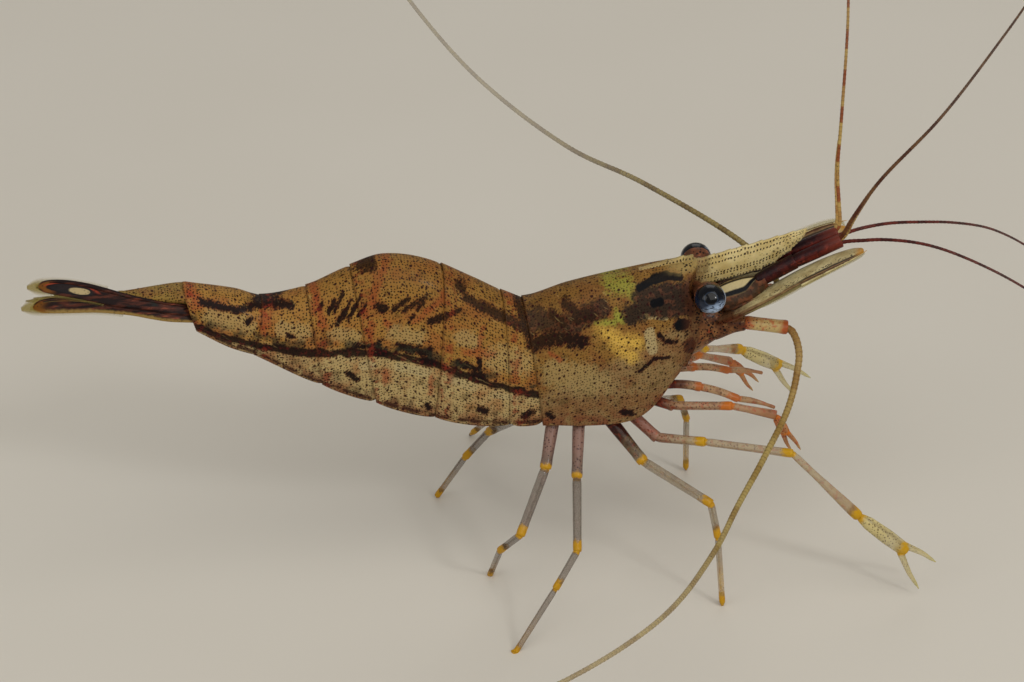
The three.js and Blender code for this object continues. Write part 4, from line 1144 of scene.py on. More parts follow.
def window_layers(paint, across, share):
    """The flat article: a pale ground, the window's ellipse, a thin line above it, and a thick line that
    climbs below it with brown beneath."""
    pale = paint.mix(paint.cloud(0.6).ramp(0.35, 0.65), (178, 156, 104), (150, 122, 76))
    pale = paint.mix(paint.dots(0.24, 0.05) * 0.7, pale, (60, 40, 26))
    paint.layer(share.ramp(1.02, 0.88), pale)
    along, up = (share - 0.46) / 0.4, (across - 0.45) / 0.45
    on_article = share.ramp(1.0, 0.98)
    window = (along * along + up * up).ramp(1.15, 0.9) * on_article
    paint.layer(window * 0.8, (206, 192, 146))
    stir = paint.stir(0.4, 0.12)
    thin = (across + stir * 0.4).near(0.84, 0.13, 0.06) * share.ramp(0.12, 0.2) * on_article
    paint.layer(thin * 0.95, (20, 14, 14))
    climb = share.ramp(0.55, 0.95) * 0.75 - 0.06
    to_rod = share.ramp(1.03, 0.97)
    under = ((across - climb).ramp(-0.05, -0.3) * to_rod).at_least(share.ramp(0.1, 0.06))
    brown = paint.mix(paint.cloud(0.35, 3.0).ramp(0.42, 0.64), (44, 17, 15), (104, 54, 34))
    paint.layer(under * 0.92, brown)
    thick = (across - climb + stir).fold().ramp(0.26, 0.13) * share.ramp(0.05, 0.18) * to_rod
    paint.layer(thick, (9, 10, 16))


def maroon_finish():
    paint = Paint("maroon_shell")
    across = paint.mark("across")
    rod_layers(paint, across)
    window_layers(paint, across, paint.mark("share"))
    return paint.finish(0.36, paint.cloud(0.14, 3.0), 0.03, coat=(0.06, 0.1))


maroon_shell = maroon_finish()

# %% [markdown]
# ## Bases of the first feelers
# One long bent tube would look like rubber. Real joints are hard articles that plug into one another, so
# each article is a closed tube of its own and starts inside the flared end of the one before. The flat one
# is the same tube with a much smaller height than width, and a small spine stands on its outer side.

# %% Bases of the first feelers
SIDEWAYS = (0, 1, 0)
# What the mark share says all over the rod.
ROD = 2.0


def article(start, end, girths, rows=26, **marks):
    """One article of a limb: a tube that swells from its first girth to its last, waisted between, and
    turns in at its far rim so that the next article seems to plug into it."""
    start, end = np.asarray(start, float), np.asarray(end, float)
    share = np.concatenate([[0, 0.02], np.linspace(0.05, 0.95, rows), [0.975, 0.992, 1.0]])
    line = start + share[:, None] * (end - start)
    first, waist, swell, last = girths
    girth = np.interp(share, [0, 0.12, 0.5, 0.85, 1], [0.82 * first, first, waist, swell, 1.04 * last])
    girth[:2] *= (0.6, 0.9)
    girth[-2:] *= (0.94, 0.55)
    return tube(line, girth, across=SIDEWAYS, sides=24, **marks)


for name, side in SIDES.items():
    places = [(12.9, 1.15, 19.25), (13.8, 1.15, 19.5), (14.8, 1.13, 19.77)]
    places += [(15.6, 1.08, 20.03), (16.3, 1.02, 20.36)]
    first = route([(x, side * y, z) for x, y, z in places], 50)
    share = np.linspace(0, 1, 51)
    wide = curve([0, 0.3, 0.62, 0.85, 1], [0.55, 0.88, 0.86, 0.6, 0.46], share)
    lean = (0, -side, 0.84)
    flat_article = tube(first, wide, 0.24 + 0.16 * share**2, across=lean, sides=48, cup=-0.1, share=share)
    spine_line = route([(13.6, side * 1.7, 18.8), (14.4, side * 1.92, 19.05), (15.4, side * 1.9, 19.5)], 20)
    spine_girth = 0.14 * (1 - np.linspace(0, 1, 21) ** 1.5) + 0.015
    spine = tube(spine_line, spine_girth, sides=12, share=0.05)
    knee, wrist, tip = (18.3, side * 0.6, 21.36), (18.1, side * 0.62, 21.27), (21.3, side * 0.48, 22.58)
    second = article((15.7, side * 0.92, 20.2), knee, (0.46, 0.5, 0.5, 0.49), share=ROD)
    third = article(wrist, tip, (0.45, 0.46, 0.45, 0.43), rows=36, share=ROD)
    shells = [flat_article, spine, second, third]
    make_piece(f"antennule_base_{name}", shells, maroon_shell, "antennule", f"antennule_base_{name}")

# %% [markdown]
# ## Scales of the second feelers
# Beside each first feeler lies a long thin scale, stiffened along its outer edge by a brown rod that ends
# in a thorn, and fringed with hairs. It is a leaf: a very flat oval along a line, cupped a little, with
# its outer edge a little higher than its inner one. The fringe is a still thinner leaf, almost clear.

# %% Fringe finish
def fringe_finish(name, tint, clear, ray):
    """Fine hairs: a ripple every ray millimetres along the leaf, fading out to both of its edges."""
    paint = Paint(name)
    hairs = (paint.mark("along") * (math.tau / ray) + paint.cloud(0.3) * 9.0).ripple()
    paint.ground(hairs * 0.5, tint, (126, 106, 62))
    fade = paint.mark("across").fold().ramp(1.0, 0.3)
    return paint.finish(0.5, Alpha=(0.75 + hairs * 0.25) * clear * fade)


fringe_pale = fringe_finish("fringe_pale", (190, 178, 118), 0.5, 0.05)

# %% Scale finish
def scale_finish():
    """A clear pale blade. Its outer edge, across 1, is a brown rod, with a dark dotted line beside it
    and a row of dots further in. The tip is amber."""
    paint = Paint("scale_blade")
    across, share = paint.mark("across"), paint.mark("share")
    ripple = paint.cloud(0.16, 2.0, paint.stretched((0.12, 1.0, 1.0)))
    paint.ground(paint.cloud(0.8).ramp(0.35, 0.65), (216, 202, 150), (188, 170, 120))
    paint.layer(ripple.ramp(0.52, 0.7) * 0.35, (132, 110, 72))
    stir = paint.stir(0.5, 0.16)
    inner = (across + 0.9 + stir * 0.4).ramp(0.12, 0.04)
    paint.layer(inner * 0.8, (88, 64, 34))
    rod = (across + stir).ramp(0.5, 0.66)
    wood = paint.mix(ripple.ramp(0.35, 0.65), (150, 116, 76), (104, 70, 48))
    paint.layer(rod * 0.9, wood)
    dark = (across + stir * 0.6).near(0.6, 0.12, 0.04) * share.ramp(0.4, 0.65)
    paint.layer(dark * 0.9, (40, 30, 30))
    outline = (across + stir * 0.2).near(0.9, 0.15, 0.06)
    paint.layer(outline * 0.85, (70, 32, 20))
    row = (across + stir * 2.0).near(0.35, 0.22, 0.08) * share.ramp(0.2, 0.5)
    paint.layer(paint.dots(0.2, 0.075) * row, (34, 26, 22))
    paint.layer(paint.dots(0.3, 0.05) * 0.7, (64, 46, 30))
    root = (share + paint.cloud(0.5, 3.0) * 0.3 + across * 0.05).ramp(0.46, 0.26)
    paint.layer(root * 0.9, (98, 52, 32))
    paint.layer(paint.dots(0.2, 0.06) * root, (28, 16, 12))
    paint.layer(share.ramp(0.93, 0.985) * 0.9, (198, 138, 30))
    alpha = 0.97 - 0.1 * paint.cloud(0.5) - 0.12 * share.ramp(0.9, 1.0)
    return paint.finish(0.3, ripple, 0.02, Alpha=alpha, coat=(0.12, 0.1))


scale_blade = scale_finish()

# %% [markdown]
# ## Shape of the scales
# Blade, thorn and fringe are tubes. Thorn and fringe follow the blade's outer edge, which is its middle
# line moved out by its half-width, so neither has to be fitted by hand. The thorn leaves that edge near
# the tip and stands out from it.

# %% Scales: places of the middle line from root to tip, and the half-width there
SCALES = {
    "right": [
        (13.2, 1.6, 17.95, 0.6), (14.0, 1.85, 18.55, 1.05), (15.0, 1.97, 19.17, 1.3),
        (17.0, 1.97, 20.23, 1.4), (18.7, 2.0, 21.18, 1.38), (20.3, 2.05, 21.96, 1.28),
        (21.6, 2.2, 22.55, 1.0), (22.1, 2.3, 22.75, 0.6), (22.3, 2.4, 22.83, 0.1),
    ],
    "left": [
        (13.2, 1.6, 17.9, 0.6), (14.0, 1.85, 18.35, 1.05), (15.0, 1.97, 18.8, 1.3),
        (17.0, 2.0, 19.6, 1.4), (18.7, 2.05, 20.25, 1.38), (20.3, 2.1, 20.95, 1.28),
        (21.5, 2.2, 21.5, 1.0), (22.0, 2.3, 21.75, 0.6), (22.2, 2.4, 21.85, 0.1),
    ],
}


for name, side in SIDES.items():
    stations = np.array(SCALES[name]) * (1, side, 1, 1)
    line = route(stations[:, :3], 90)
    share = np.linspace(0, 1, 91)
    knots = np.linalg.norm(stations[:, :3] - stations[0, :3], axis=1)
    wide = curve(knots / knots[-1], stations[:, 3], share)
    outward = unit(np.array([0, side, 0.23]))
    blade = tube(line, wide, 0.07 + 0.05 * (1 - share), outward, 48, cup=0.06, share=share)
    edge = line + wide[:, None] * outward
    bend, point = edge[80] + [0.25, -side * 0.1, 0.12], edge[84] + [0.75, -side * 0.35, 0.3]
    thorn = route([edge[50], edge[72], bend, point], 30)
    taper = 0.15 * (1 - np.linspace(0, 1, 31) ** 2) + 0.012
    spine = tube(thorn, taper, sides=12, share=np.linspace(0.6, 1, 31))
    node = f"antenna_scale_{name}"
    make_piece(node, [blade, spine], scale_blade, "antennal_scale", node)
    reach = 0.5 * rise(share[14:], 0.14, 0.4) * np.sqrt(1 - share[14:] ** 8) + 0.02
    hairs = edge[14:] + 0.3 * reach[:, None] * outward
    fringe = tube(hairs, reach, 0.012, outward, 24)
    make_piece(f"scale_fringe_{name}", [fringe], fringe_pale, "antennal_scale", node)

# %% [markdown]
# ## Finish of the limbs
# A leg is glassy between its joints and bright at them. A picture wrapped round each article would need a
# new one for every leg. Here one recipe reads three marks instead: how far along the leg a point lies, how
# near it is to a bright joint, and its place over the width.


# %% Limb finish
def limb_finish(name, hip, middle, foot, joint, freckle, clear, red):
    """Glassy limb: a tint that goes from hip to foot, a bright patch at each joint, red blotches, dark
    specks and a dark line along one side, and a body that is only clear between the joints."""
    paint = Paint(name)
    reach = paint.mark("reach") + paint.stir(0.5, 0.12)
    paint.ground(reach.ramp(0.08, 0.3), hip, middle)
    paint.layer(reach.ramp(0.75, 0.95), foot)
    paint.layer(paint.cloud(0.45, 3.0).ramp(0.5, 0.68) * 0.45, hip)
    paint.layer(paint.cloud(0.35, 3.0).ramp(0.52, 0.64) * red, (184, 74, 40))
    line = (paint.mark("across") + paint.stir(0.5, 0.4)).near(0.55, 0.3, 0.08)
    paint.layer(line * 0.4 * reach.ramp(1.0, 0.4), freckle)
    paint.layer(paint.dots(0.17, 0.05) * reach.ramp(0.95, 0.4) * 0.85, freckle)
    ring = (paint.mark("joint") + paint.stir(0.3, 0.9, 3.0)).ramp(0.16, 0.62)
    paint.layer(ring * 0.95, joint)
    solid = ring.at_least(reach.ramp(0.3, 0.12)).at_least(line * 0.5)
    alpha = clear + (0.98 - clear) * solid + paint.stir(0.5, 0.15)
    glow = (0.15, (0.5, 0.4, 0.3), 0.0004)
    return paint.finish(0.22, paint.cloud(0.1, 3.0), 0.015, (0.2, 0.08), glow, Alpha=alpha.at_most(1.0))


# Each finish: tints of hip, middle and foot, of the joints and of the specks, how solid it is, how red.
YELLOW_JOINT, GOLD_JOINT, ORANGE_JOINT = (196, 146, 22), (200, 152, 14), (200, 112, 34)
LIMB_FINISHES = {
    "leg_dotted": ((140, 108, 96), (112, 97, 80), (150, 116, 62), YELLOW_JOINT, (62, 34, 40), 0.45, 0.0),
    "leg_dark_hip": ((48, 20, 17), (158, 140, 104), (196, 160, 80), YELLOW_JOINT, (70, 32, 28), 0.45, 0.2),
    "leg_red": ((98, 44, 34), (184, 146, 108), (176, 122, 78), ORANGE_JOINT, (78, 32, 24), 0.75, 0.6),
    "leg_line": ((142, 98, 84), (186, 166, 126), (176, 148, 100), GOLD_JOINT, (104, 48, 28), 0.55, 0.35),
    "claw_olive": ((204, 188, 132), (206, 190, 134), (196, 184, 112), GOLD_JOINT, (92, 72, 40), 0.55, 0.0),
    "claw_red": ((182, 112, 66), (186, 130, 80), (184, 150, 98), ORANGE_JOINT, (96, 40, 26), 0.8, 0.6),
    "base_spotted": ((168, 92, 52), (198, 172, 114), (176, 112, 64), (164, 84, 44), (74, 28, 20), 0.94, 0.6),
    "mouth_spotted": ((84, 36, 30), (184, 148, 108), (170, 122, 84), (186, 104, 50), (60, 26, 22), 0.9, 0.4),
}
limb_finishes = {name: limb_finish(name, *tints) for name, tints in LIMB_FINISHES.items()}

# %% [markdown]
# ## Shape of the limbs
# A limb is a chain of articles. Each is given by its length, its heading and its pitch, so the joints
# follow from the hip outwards, and every article becomes a tube that plugs into the one before. Places
# typed in by hand would have to be moved one by one whenever a joint bends.

# %% Chains of articles
# Places of an article's rows along it: close together at both ends, where its skin turns in.
ARTICLE_ROWS = np.concatenate([[0, 0.015], np.linspace(0.04, 0.96, 34), [0.98, 0.993, 1.0]])
# How far a bright patch reaches before and after its joint, and the radius at the end of a toe.
BRIGHT_BEFORE, BRIGHT_AFTER, TOE_RADIUS = 1.1, 0.42, 0.1


def joints(root, segments, side):
    """The joints of a limb. Each segment is (length, turn, pitch): turn is the heading from straight
    ahead towards the animal's own side, and pitch the rise above the level, both in degrees."""
    length, turn, pitch = np.array(segments, float).T
    turn, pitch = np.radians(turn), np.radians(pitch)
    way = np.stack([np.cos(turn) * np.cos(pitch), side * np.sin(turn) * np.cos(pitch), np.sin(pitch)], 1)
    start = np.array([[root[0], side * root[1], root[2]]])
    return np.concatenate([start, start + np.cumsum(length[:, None] * way, axis=0)])


def limb(places, radii, bright, sides=22, toe=False, bow=0.0):
    """Articles between the joints, whose radii are given. bright lists the joints that carry a bright
    patch, which reaches only half as far back along the first article. toe draws the last article to a
    fine tip above the floor. bow lifts the middle of each article."""
    shells, share = [], ARTICLE_ROWS
    reach = run_along(places)
    reach = reach / reach[-1]
    across = np.cross(places[1] - places[0], places[-1] - places[1]) + np.array([0, 1e-3, 0])
    for i, (start, end, a, b) in enumerate(zip(places, places[1:], radii, radii[1:])):
        length = np.linalg.norm(end - start)
        way = (end - start) / length
        inside = start - (0.18 * a if i else 0.0) * way
        line = inside + share[:, None] * (end + 0.25 * b * way - inside)
        line = line + bow * np.sin(math.pi * share)[:, None] * np.array([0, 0, 1])
        if toe and i == len(places) - 2:
            girth = 0.9 * a + (TOE_RADIUS - 0.9 * a) * share**0.8
            line[:, 2] = np.maximum(line[:, 2], TOE_RADIUS)
        else:
            swell = [0.7 * a, 0.86 * a, 0.84 * a, b, 1.07 * b, b]
            girth = np.interp(share, [0, 0.1, 0.35, 0.8, 0.93, 1], swell)
        girth[0] *= 0.7
        girth[-2:] *= (0.92, 0.6)
        near = np.zeros(len(share))
        if i in bright:
            near = np.maximum(near, 1 - share * length / BRIGHT_AFTER)
        if i + 1 in bright:
            before = BRIGHT_BEFORE if i else 0.5 * BRIGHT_BEFORE
            near = np.maximum(near, 1 - (1 - share) * length / before)
        marks = {"reach": reach[i] + share * (reach[i + 1] - reach[i]), "joint": near}
        shells.append(tube(line, girth, 0.92 * girth, across, sides, **marks))
    return shells


print("a three-joint limb ends at", joints((0, 1, 0), [(1, 0, 0), (1, 90, 0), (1, 0, -90)], 1)[-1].round(2))

# %% [markdown]
# ## Walking legs
# The last three pairs carry the animal. Each leg is one piece of five articles, and its toe stops on the
# floor. The same lengths and angles are in the solids, so each leg fills its solid.

# %% Walking legs: length, heading and pitch of each article
WALKING = {
    "leg_3_right": [(4.0, 48, -36), (5.3, 39, -17), (2.35, 56, -72), (4.8, 70, -80), (0.9, 85, -66)],
    "leg_3_left": [(4.0, 46, -34), (5.3, 34, -21), (2.3, 50, -66), (4.6, 75, -80), (0.9, 70, -66)],
    "leg_4_right": [(4.0, 101, -44), (5.1, 98, -35), (2.8, 146, -48), (5.1, 144, -42), (1.2, 126, -44)],
    "leg_4_left": [(4.1, 98, -32), (5.6, 106, -26), (2.9, 125, -45), (5.2, 125, -48), (1.2, 125, -50)],
    "leg_5_right": [(3.5, 112, -50), (4.7, 127, -44), (2.6, -132, -49), (4.0, -101, -58), (0.9, -100, -66)],
    "leg_5_left": [(3.5, 118, -48), (4.7, 128, -40), (2.6, 172, -52), (4.0, 160, -60), (1.2, 158, -66)],
}
# Hips of the left side, which the other side mirrors.
HIPS = {"leg_3": (5.95, 1.1, 11.1), "leg_4": (4.25, 1.1, 11.0), "leg_5": (2.6, 1.1, 11.3)}
WALKING_RADII = (0.52, 0.38, 0.3, 0.25, 0.2, 0.13)
for name, segments in WALKING.items():
    places = joints(HIPS[name[:5]], segments, 1 if name.endswith("left") else -1)
    drop = (places[-2][2] - TOE_RADIUS) / (places[-2][2] - places[-1][2])
    places[-1] = places[-2] + (places[-1] - places[-2]) * drop
    finish = limb_finishes["leg_dark_hip" if name.startswith("leg_3") else "leg_dotted"]
    shells = limb(places, WALKING_RADII, bright=(1, 2, 3, 4), toe=True)
    make_piece(name, shells, finish, "leg", name)

# %% [markdown]
# ## Clawed legs
# The first two pairs end in claws. They stretch forward and are drawn as chains like the walking legs, with
# the claw's own lengths and angles after them.

# %% Plans of the clawed legs
# Segments and fingers: length, heading and pitch. The palm has its half-width after them. The first finger
# stands on the palm and the second one moves.
CLAWED = {
    "leg_1_right": {
        "root": (8.85, 1.0, 11.95),
        "segments": [(1.7, 36, -2), (4.2, 31, 14), (2.9, 20, -6)],
        "radii": (0.45, 0.36, 0.3, 0.32),
        "palm": (1.5, 20, -62, 0.36),
        "fingers": [(1.7, 12, -50), (1.7, -16, -72)],
    },
    "leg_1_left": {
        "root": (8.85, 1.0, 11.95),
        "segments": [(1.7, 45, -4), (4.2, 40, -8), (2.9, 24, -28)],
        "radii": (0.45, 0.36, 0.3, 0.32),
        "palm": (1.5, 14, -48, 0.36),
        "fingers": [(1.7, 12, -40), (1.7, -16, -62)],
    },
    "leg_2_right": {
        "root": (7.45, 1.05, 11.15),
        "segments": [(2.6, 40, -30), (3.3, 30, 8), (5.8, 23, 1), (6.4, 13, -46)],
        "radii": (0.5, 0.4, 0.33, 0.3, 0.38),
        "palm": (4.1, 14, -38, 0.48),
        "fingers": [(2.6, 5, -27), (3.2, 34, -66)],
    },
    "leg_2_left": {
        "root": (7.45, 1.05, 11.15),
        "segments": [(2.6, 48, -28), (4.2, 57, -5), (4.4, 42, -8), (3.9, 36, -24)],
        "radii": (0.5, 0.4, 0.33, 0.3, 0.38),
        "palm": (3.7, 14, -34, 0.48),
        "fingers": [(3.1, 10, -31), (2.9, -4, -62)],
    },
}
print("articles before each claw:", {name: len(plan["segments"]) for name, plan in CLAWED.items()})

# %% [markdown]
# ## Claws
# The palm swells and one finger stands fixed on it. The other finger is a piece of its own, because on the
# animal it is the part that moves. A claw cut from one block would have no gap between its fingers, so both
# are tubes of their own that bend towards each other.


# %% Claws
def claw_shells(wrist, palm, fingers, side):
    """The palm with its fixed finger, and the moving finger. Each finger curves towards the other."""
    length, turn, pitch, radius = palm
    _, knuckle = joints((0, 0, 0), [(length, turn, pitch)], side)
    way = knuckle / length
    start = wrist + 0.2 * radius * way
    end = start + knuckle
    tips = [end - 0.1 * length * way + joints((0, 0, 0), [finger], side)[1] for finger in fingers]
    spread = tips[0] - tips[1]
    spread = spread - (spread @ way) * way
    apart = unit(spread)
    share = np.linspace(0, 1, 46)
    girth = radius * np.interp(share, [0, 0.05, 0.2, 0.6, 0.9, 1], [0.45, 0.62, 0.92, 1.06, 0.96, 0.62])
    line = start + share[:, None] * (end - start)
    ring = np.maximum(1 - share / 0.14, 1 - (1 - share) / 0.25).clip(0, 1)
    shells = [tube(line, girth, 0.8 * girth, apart, 28, reach=0.4 * share, joint=ring)]
    for tip, lean in zip(tips, (1, -1)):
        root = end - 0.12 * length * way + 0.42 * radius * lean * apart
        middle = root + 0.55 * (tip - root) + 0.16 * radius * lean * apart
        hook = tip - 0.1 * radius * lean * apart
        line = route([root, root + 0.2 * (middle - root), middle, 0.35 * middle + 0.65 * hook, hook], 44)
        share = np.linspace(0, 1, 45)
        girth = radius * np.interp(share, [0, 0.08, 0.5, 0.85, 1], [0.42, 0.5, 0.38, 0.24, 0.06])
        near = (1 - share / 0.2).clip(0, 1)
        shells.append(tube(line, girth, 0.85 * girth, apart, 18, reach=0.4 + 0.6 * share, joint=near))
    return shells


for name, plan in CLAWED.items():
    side = 1 if name.endswith("left") else -1
    places = joints(plan["root"], plan["segments"], side)
    first_pair = name.startswith("leg_1")
    shells = limb(places, plan["radii"], bright=(2,) if first_pair else (2, 3, 4))
    make_piece(name, shells, limb_finishes["leg_red" if first_pair else "leg_line"], "leg", name)
    claw = name.replace("leg", "claw")
    palm, finger, thumb = claw_shells(places[-1], plan["palm"], plan["fingers"], side)
    finish = limb_finishes["claw_red" if first_pair else "claw_olive"]
    make_piece(claw, [palm, finger], finish, "claw", claw)
    make_piece(claw + "_thumb", [thumb], finish, "claw", claw)

# %% [markdown]
# ## Whips
# A feeler's whip is a long tapering thread of short rings. Its route is read back from its solid, whose
# corners lie in rings of six, so the whip always runs in the middle of the solid. The rings of the thread
# are a ripple in its radius, and the dark and pale bands follow the along mark.

# %% Threads of short rings
# A solid whip's corners come in rings of six. The living thread has a joint every RING_LENGTH millimetres.
RING_CORNERS, RING_LENGTH = 6, 0.3


def centreline(node, root):
    """The middles of a round solid's rings, in order from the place root."""
    found = np.array([tuple(vertex.co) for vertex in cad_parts[node].data.vertices])
    found = np.unique(((found - ORIGIN) / MM).round(3), axis=0)
    order = np.argsort(np.linalg.norm(found - np.asarray(root), axis=1))
    return found[order].reshape(-1, RING_CORNERS, 3).mean(axis=1)


def whip(line, thick, thin, sides=12):
    """A tube along line whose radius shrinks from thick to thin, with a ripple at every joint."""
    length = run_along(line)[-1]
    fine = route(line, int(5 * length / RING_LENGTH))
    share = np.linspace(0, 1, len(fine))
    ripple = 1 + 0.05 * np.cos(2 * math.pi * share * length / RING_LENGTH)
    return tube(fine, (thick + (thin - thick) * share**0.45) * ripple, sides=sides, share=share)


def whip_finish(name, ground, band, spacing, share_of_band, red_root, fade=0.2):
    """A thread with bands across it every spacing millimetres, dark joints and a redder root. It is clearer
    towards the tip, by the share fade."""
    paint = Paint(name)
    along, share = paint.mark("along"), paint.mark("share")
    bands = (along * (math.tau / spacing) + paint.cloud(1.5) * 2.0).ripple()
    paint.ground(paint.cloud(1.2).ramp(0.3, 0.7) * 0.5, ground, band)
    paint.layer(bands.ramp(1 - share_of_band, 1.15 - share_of_band) * 0.85, band)
    paint.layer((along * (math.tau / RING_LENGTH)).ripple().ramp(0.75, 1.0) * 0.3, INK)
    paint.layer(share.ramp(0.2, 0.0) * red_root, (126, 50, 30))
    paint.layer(paint.dots(0.25, 0.05) * 0.6, (60, 34, 24))
    alpha = 0.95 - fade * share.ramp(0.05, 0.6)
    return paint.finish(0.35, Alpha=alpha, coat=(0.12, 0.12))


whip_near = whip_finish("whip_near", (178, 156, 92), (150, 122, 62), 4.0, 0.3, 0.35, 0.45)
whip_far = whip_finish("whip_far", (150, 132, 78), (120, 98, 56), 3.0, 0.3, 0.0, 0.65)
whip_brown = whip_finish("whip_brown", (122, 84, 50), (84, 44, 28), 3.0, 0.4, 0.2)
whip_banded = whip_finish("whip_banded", (196, 168, 96), (142, 62, 34), 2.6, 0.45, 0.0)
whip_pale = whip_finish("whip_pale", (196, 164, 96), (176, 126, 66), 1.6, 0.3, 0.2)
whip_maroon = whip_finish("whip_maroon", (104, 38, 28), (60, 20, 18), 1.6, 0.4, 0.2)

# %% Whips: where each solid starts, the radii at root and tip, finish and slot
WHIPS = {
    "antenna_whip_right": ((17.85, -2.5, 17.25), 0.27, 0.12, whip_near, "long_whip"),
    "antenna_whip_left": ((17.9, 2.6, 17.5), 0.24, 0.12, whip_far, "long_whip"),
    "antennule_outer_right": ((21.36, -0.62, 23.1), 0.17, 0.07, whip_brown, "short_whip"),
    "antennule_inner_right": ((21.65, -0.52, 22.48), 0.15, 0.06, whip_maroon, "short_whip"),
    "antennule_outer_left": ((21.36, 0.62, 23.08), 0.16, 0.07, whip_banded, "short_whip"),
    "antennule_inner_left": ((21.65, 0.52, 22.45), 0.15, 0.06, whip_maroon, "short_whip"),
}
# A short whip clings to the outer one of its side: its offset from it, and its length.
CLINGING = {
    "antennule_short_right": ("antennule_outer_right", (0.17, -0.02, -0.13), 4.9),
    "antennule_short_left": ("antennule_outer_left", (-0.19, 0.02, 0.0), 6.6),
}
# Where each whip really starts, a little inside the base that carries it.
ROOTS = {
    "antenna_whip_right": (17.1, -2.15, 17.42),
    "antenna_whip_left": (17.1, 2.2, 17.42),
    "antennule_outer_right": (20.95, -0.55, 22.5),
    "antennule_inner_right": (20.95, -0.5, 22.35),
    "antennule_outer_left": (20.95, 0.5, 22.5),
    "antennule_inner_left": (20.95, 0.48, 22.35),
}
whip_lines = {}
for name, (start, thick, thin, finish, slot) in WHIPS.items():
    whip_lines[name] = np.concatenate([[ROOTS[name]], centreline(name, start)])
    make_piece(name, [whip(whip_lines[name], thick, thin)], finish, slot, name)
for name, (neighbour, offset, length) in CLINGING.items():
    line = route(whip_lines[neighbour], 400)
    run = run_along(line)
    keep = run <= length
    away = rise(run[keep], 0, 0.8) * (1 - 0.45 * run[keep] / length)
    line = line[keep] + away[:, None] * np.array(offset)
    make_piece(name, [whip(line[::8], 0.17, 0.03)], whip_pale, "short_whip", name)

# %% [markdown]
# ## Bases of the second feelers and mouth limbs
# Below the scale a stout base carries the long whip: a socket in the face's finish, and a stem with
# orange-red spots and an orange far end. The mouth limbs under the face are chains, as the legs are. Stem
# and mouth limbs take the limb finish with much red in it, because their skin is the legs' kind of skin.

# %% Antenna bases and mouth limbs
for name, side in SIDES.items():
    places = np.array([(12.9, 1.4, 17.2), (14.0, 1.62, 17.62), (15.0, 1.84, 17.74), (17.5, 2.3, 17.45)])
    places = places * (1, side, 1)
    node = f"antenna_base_{name}"
    line = route(places[:3], 40)
    girth = 0.82 - 0.3 * np.linspace(0, 1, 41) ** 1.5
    girth[-3:] *= (0.97, 0.85, 0.5)
    socket = tube(line, girth, 0.92 * girth, sides=32)
    make_piece(f"antenna_socket_{name}", [socket], face_shell, "antenna_base", node)
    start = places[2] - 0.1 * (places[3] - places[2])
    stem = limb(np.array([start, places[3]]), (0.55, 0.47), bright=(1,), sides=32)
    make_piece(node, stem, limb_finishes["base_spotted"], "antenna_base", node)
    places = joints((9.95, 0.75, 12.75), [(2.3, 12, -2), (2.6, 12, -18), (2.5, 9, -15)], side)
    mouth = limb(places, (0.36, 0.32, 0.26, 0.12), bright=(1, 2), sides=20, bow=0.12)
    node = f"maxilliped_{name}"
    make_piece(node, mouth, limb_finishes["mouth_spotted"], "mouth_limb", node)

# %% [markdown]
# ## Swimming paddles
# Five pairs of paddles fold forward under the tail. Each has a short stem and two thin cupped blades.
# Only their tips show below the flaps, with red edges, but from below they are a feature. All ten come
# from one loop, because a pair differs from the next only in its place, its reach and its width.

# %% Paddle finish
def paddle_finish():
    """A clear blade with streaks that run along it, red rims, freckles and a dark tip."""
    paint = Paint("paddle_blade")
    across, share = paint.mark("across"), paint.mark("share")
    streak = (120, 74, 52)
    paint.ground(paint.cloud(0.8).ramp(0.35, 0.65), (168, 138, 100), streak)
    ripple = paint.cloud(0.16, 2.0, paint.stretched((0.12, 1.0, 1.0)))
    paint.layer(ripple.ramp(0.5, 0.68) * 0.4, streak)
    rims = (across.fold() + (ripple - 0.5) * 0.12).ramp(0.72, 0.88)
    paint.layer(rims * 0.7, (92, 34, 26))
    paint.layer(across.near(0.15, 0.14, 0.03) * 0.5, (88, 62, 42))
    paint.layer(paint.dots(0.22, 0.045) * 0.7, (50, 36, 26))
    paint.layer(share.ramp(0.9, 0.99) * 0.8, (120, 60, 40))
    alpha = 0.9 - 0.12 * paint.cloud(0.5) - 0.1 * share.ramp(0.85, 1.0)
    return paint.finish(0.3, ripple, 0.02, Alpha=alpha, coat=(0.12, 0.1))


paddle_blade = paddle_finish()

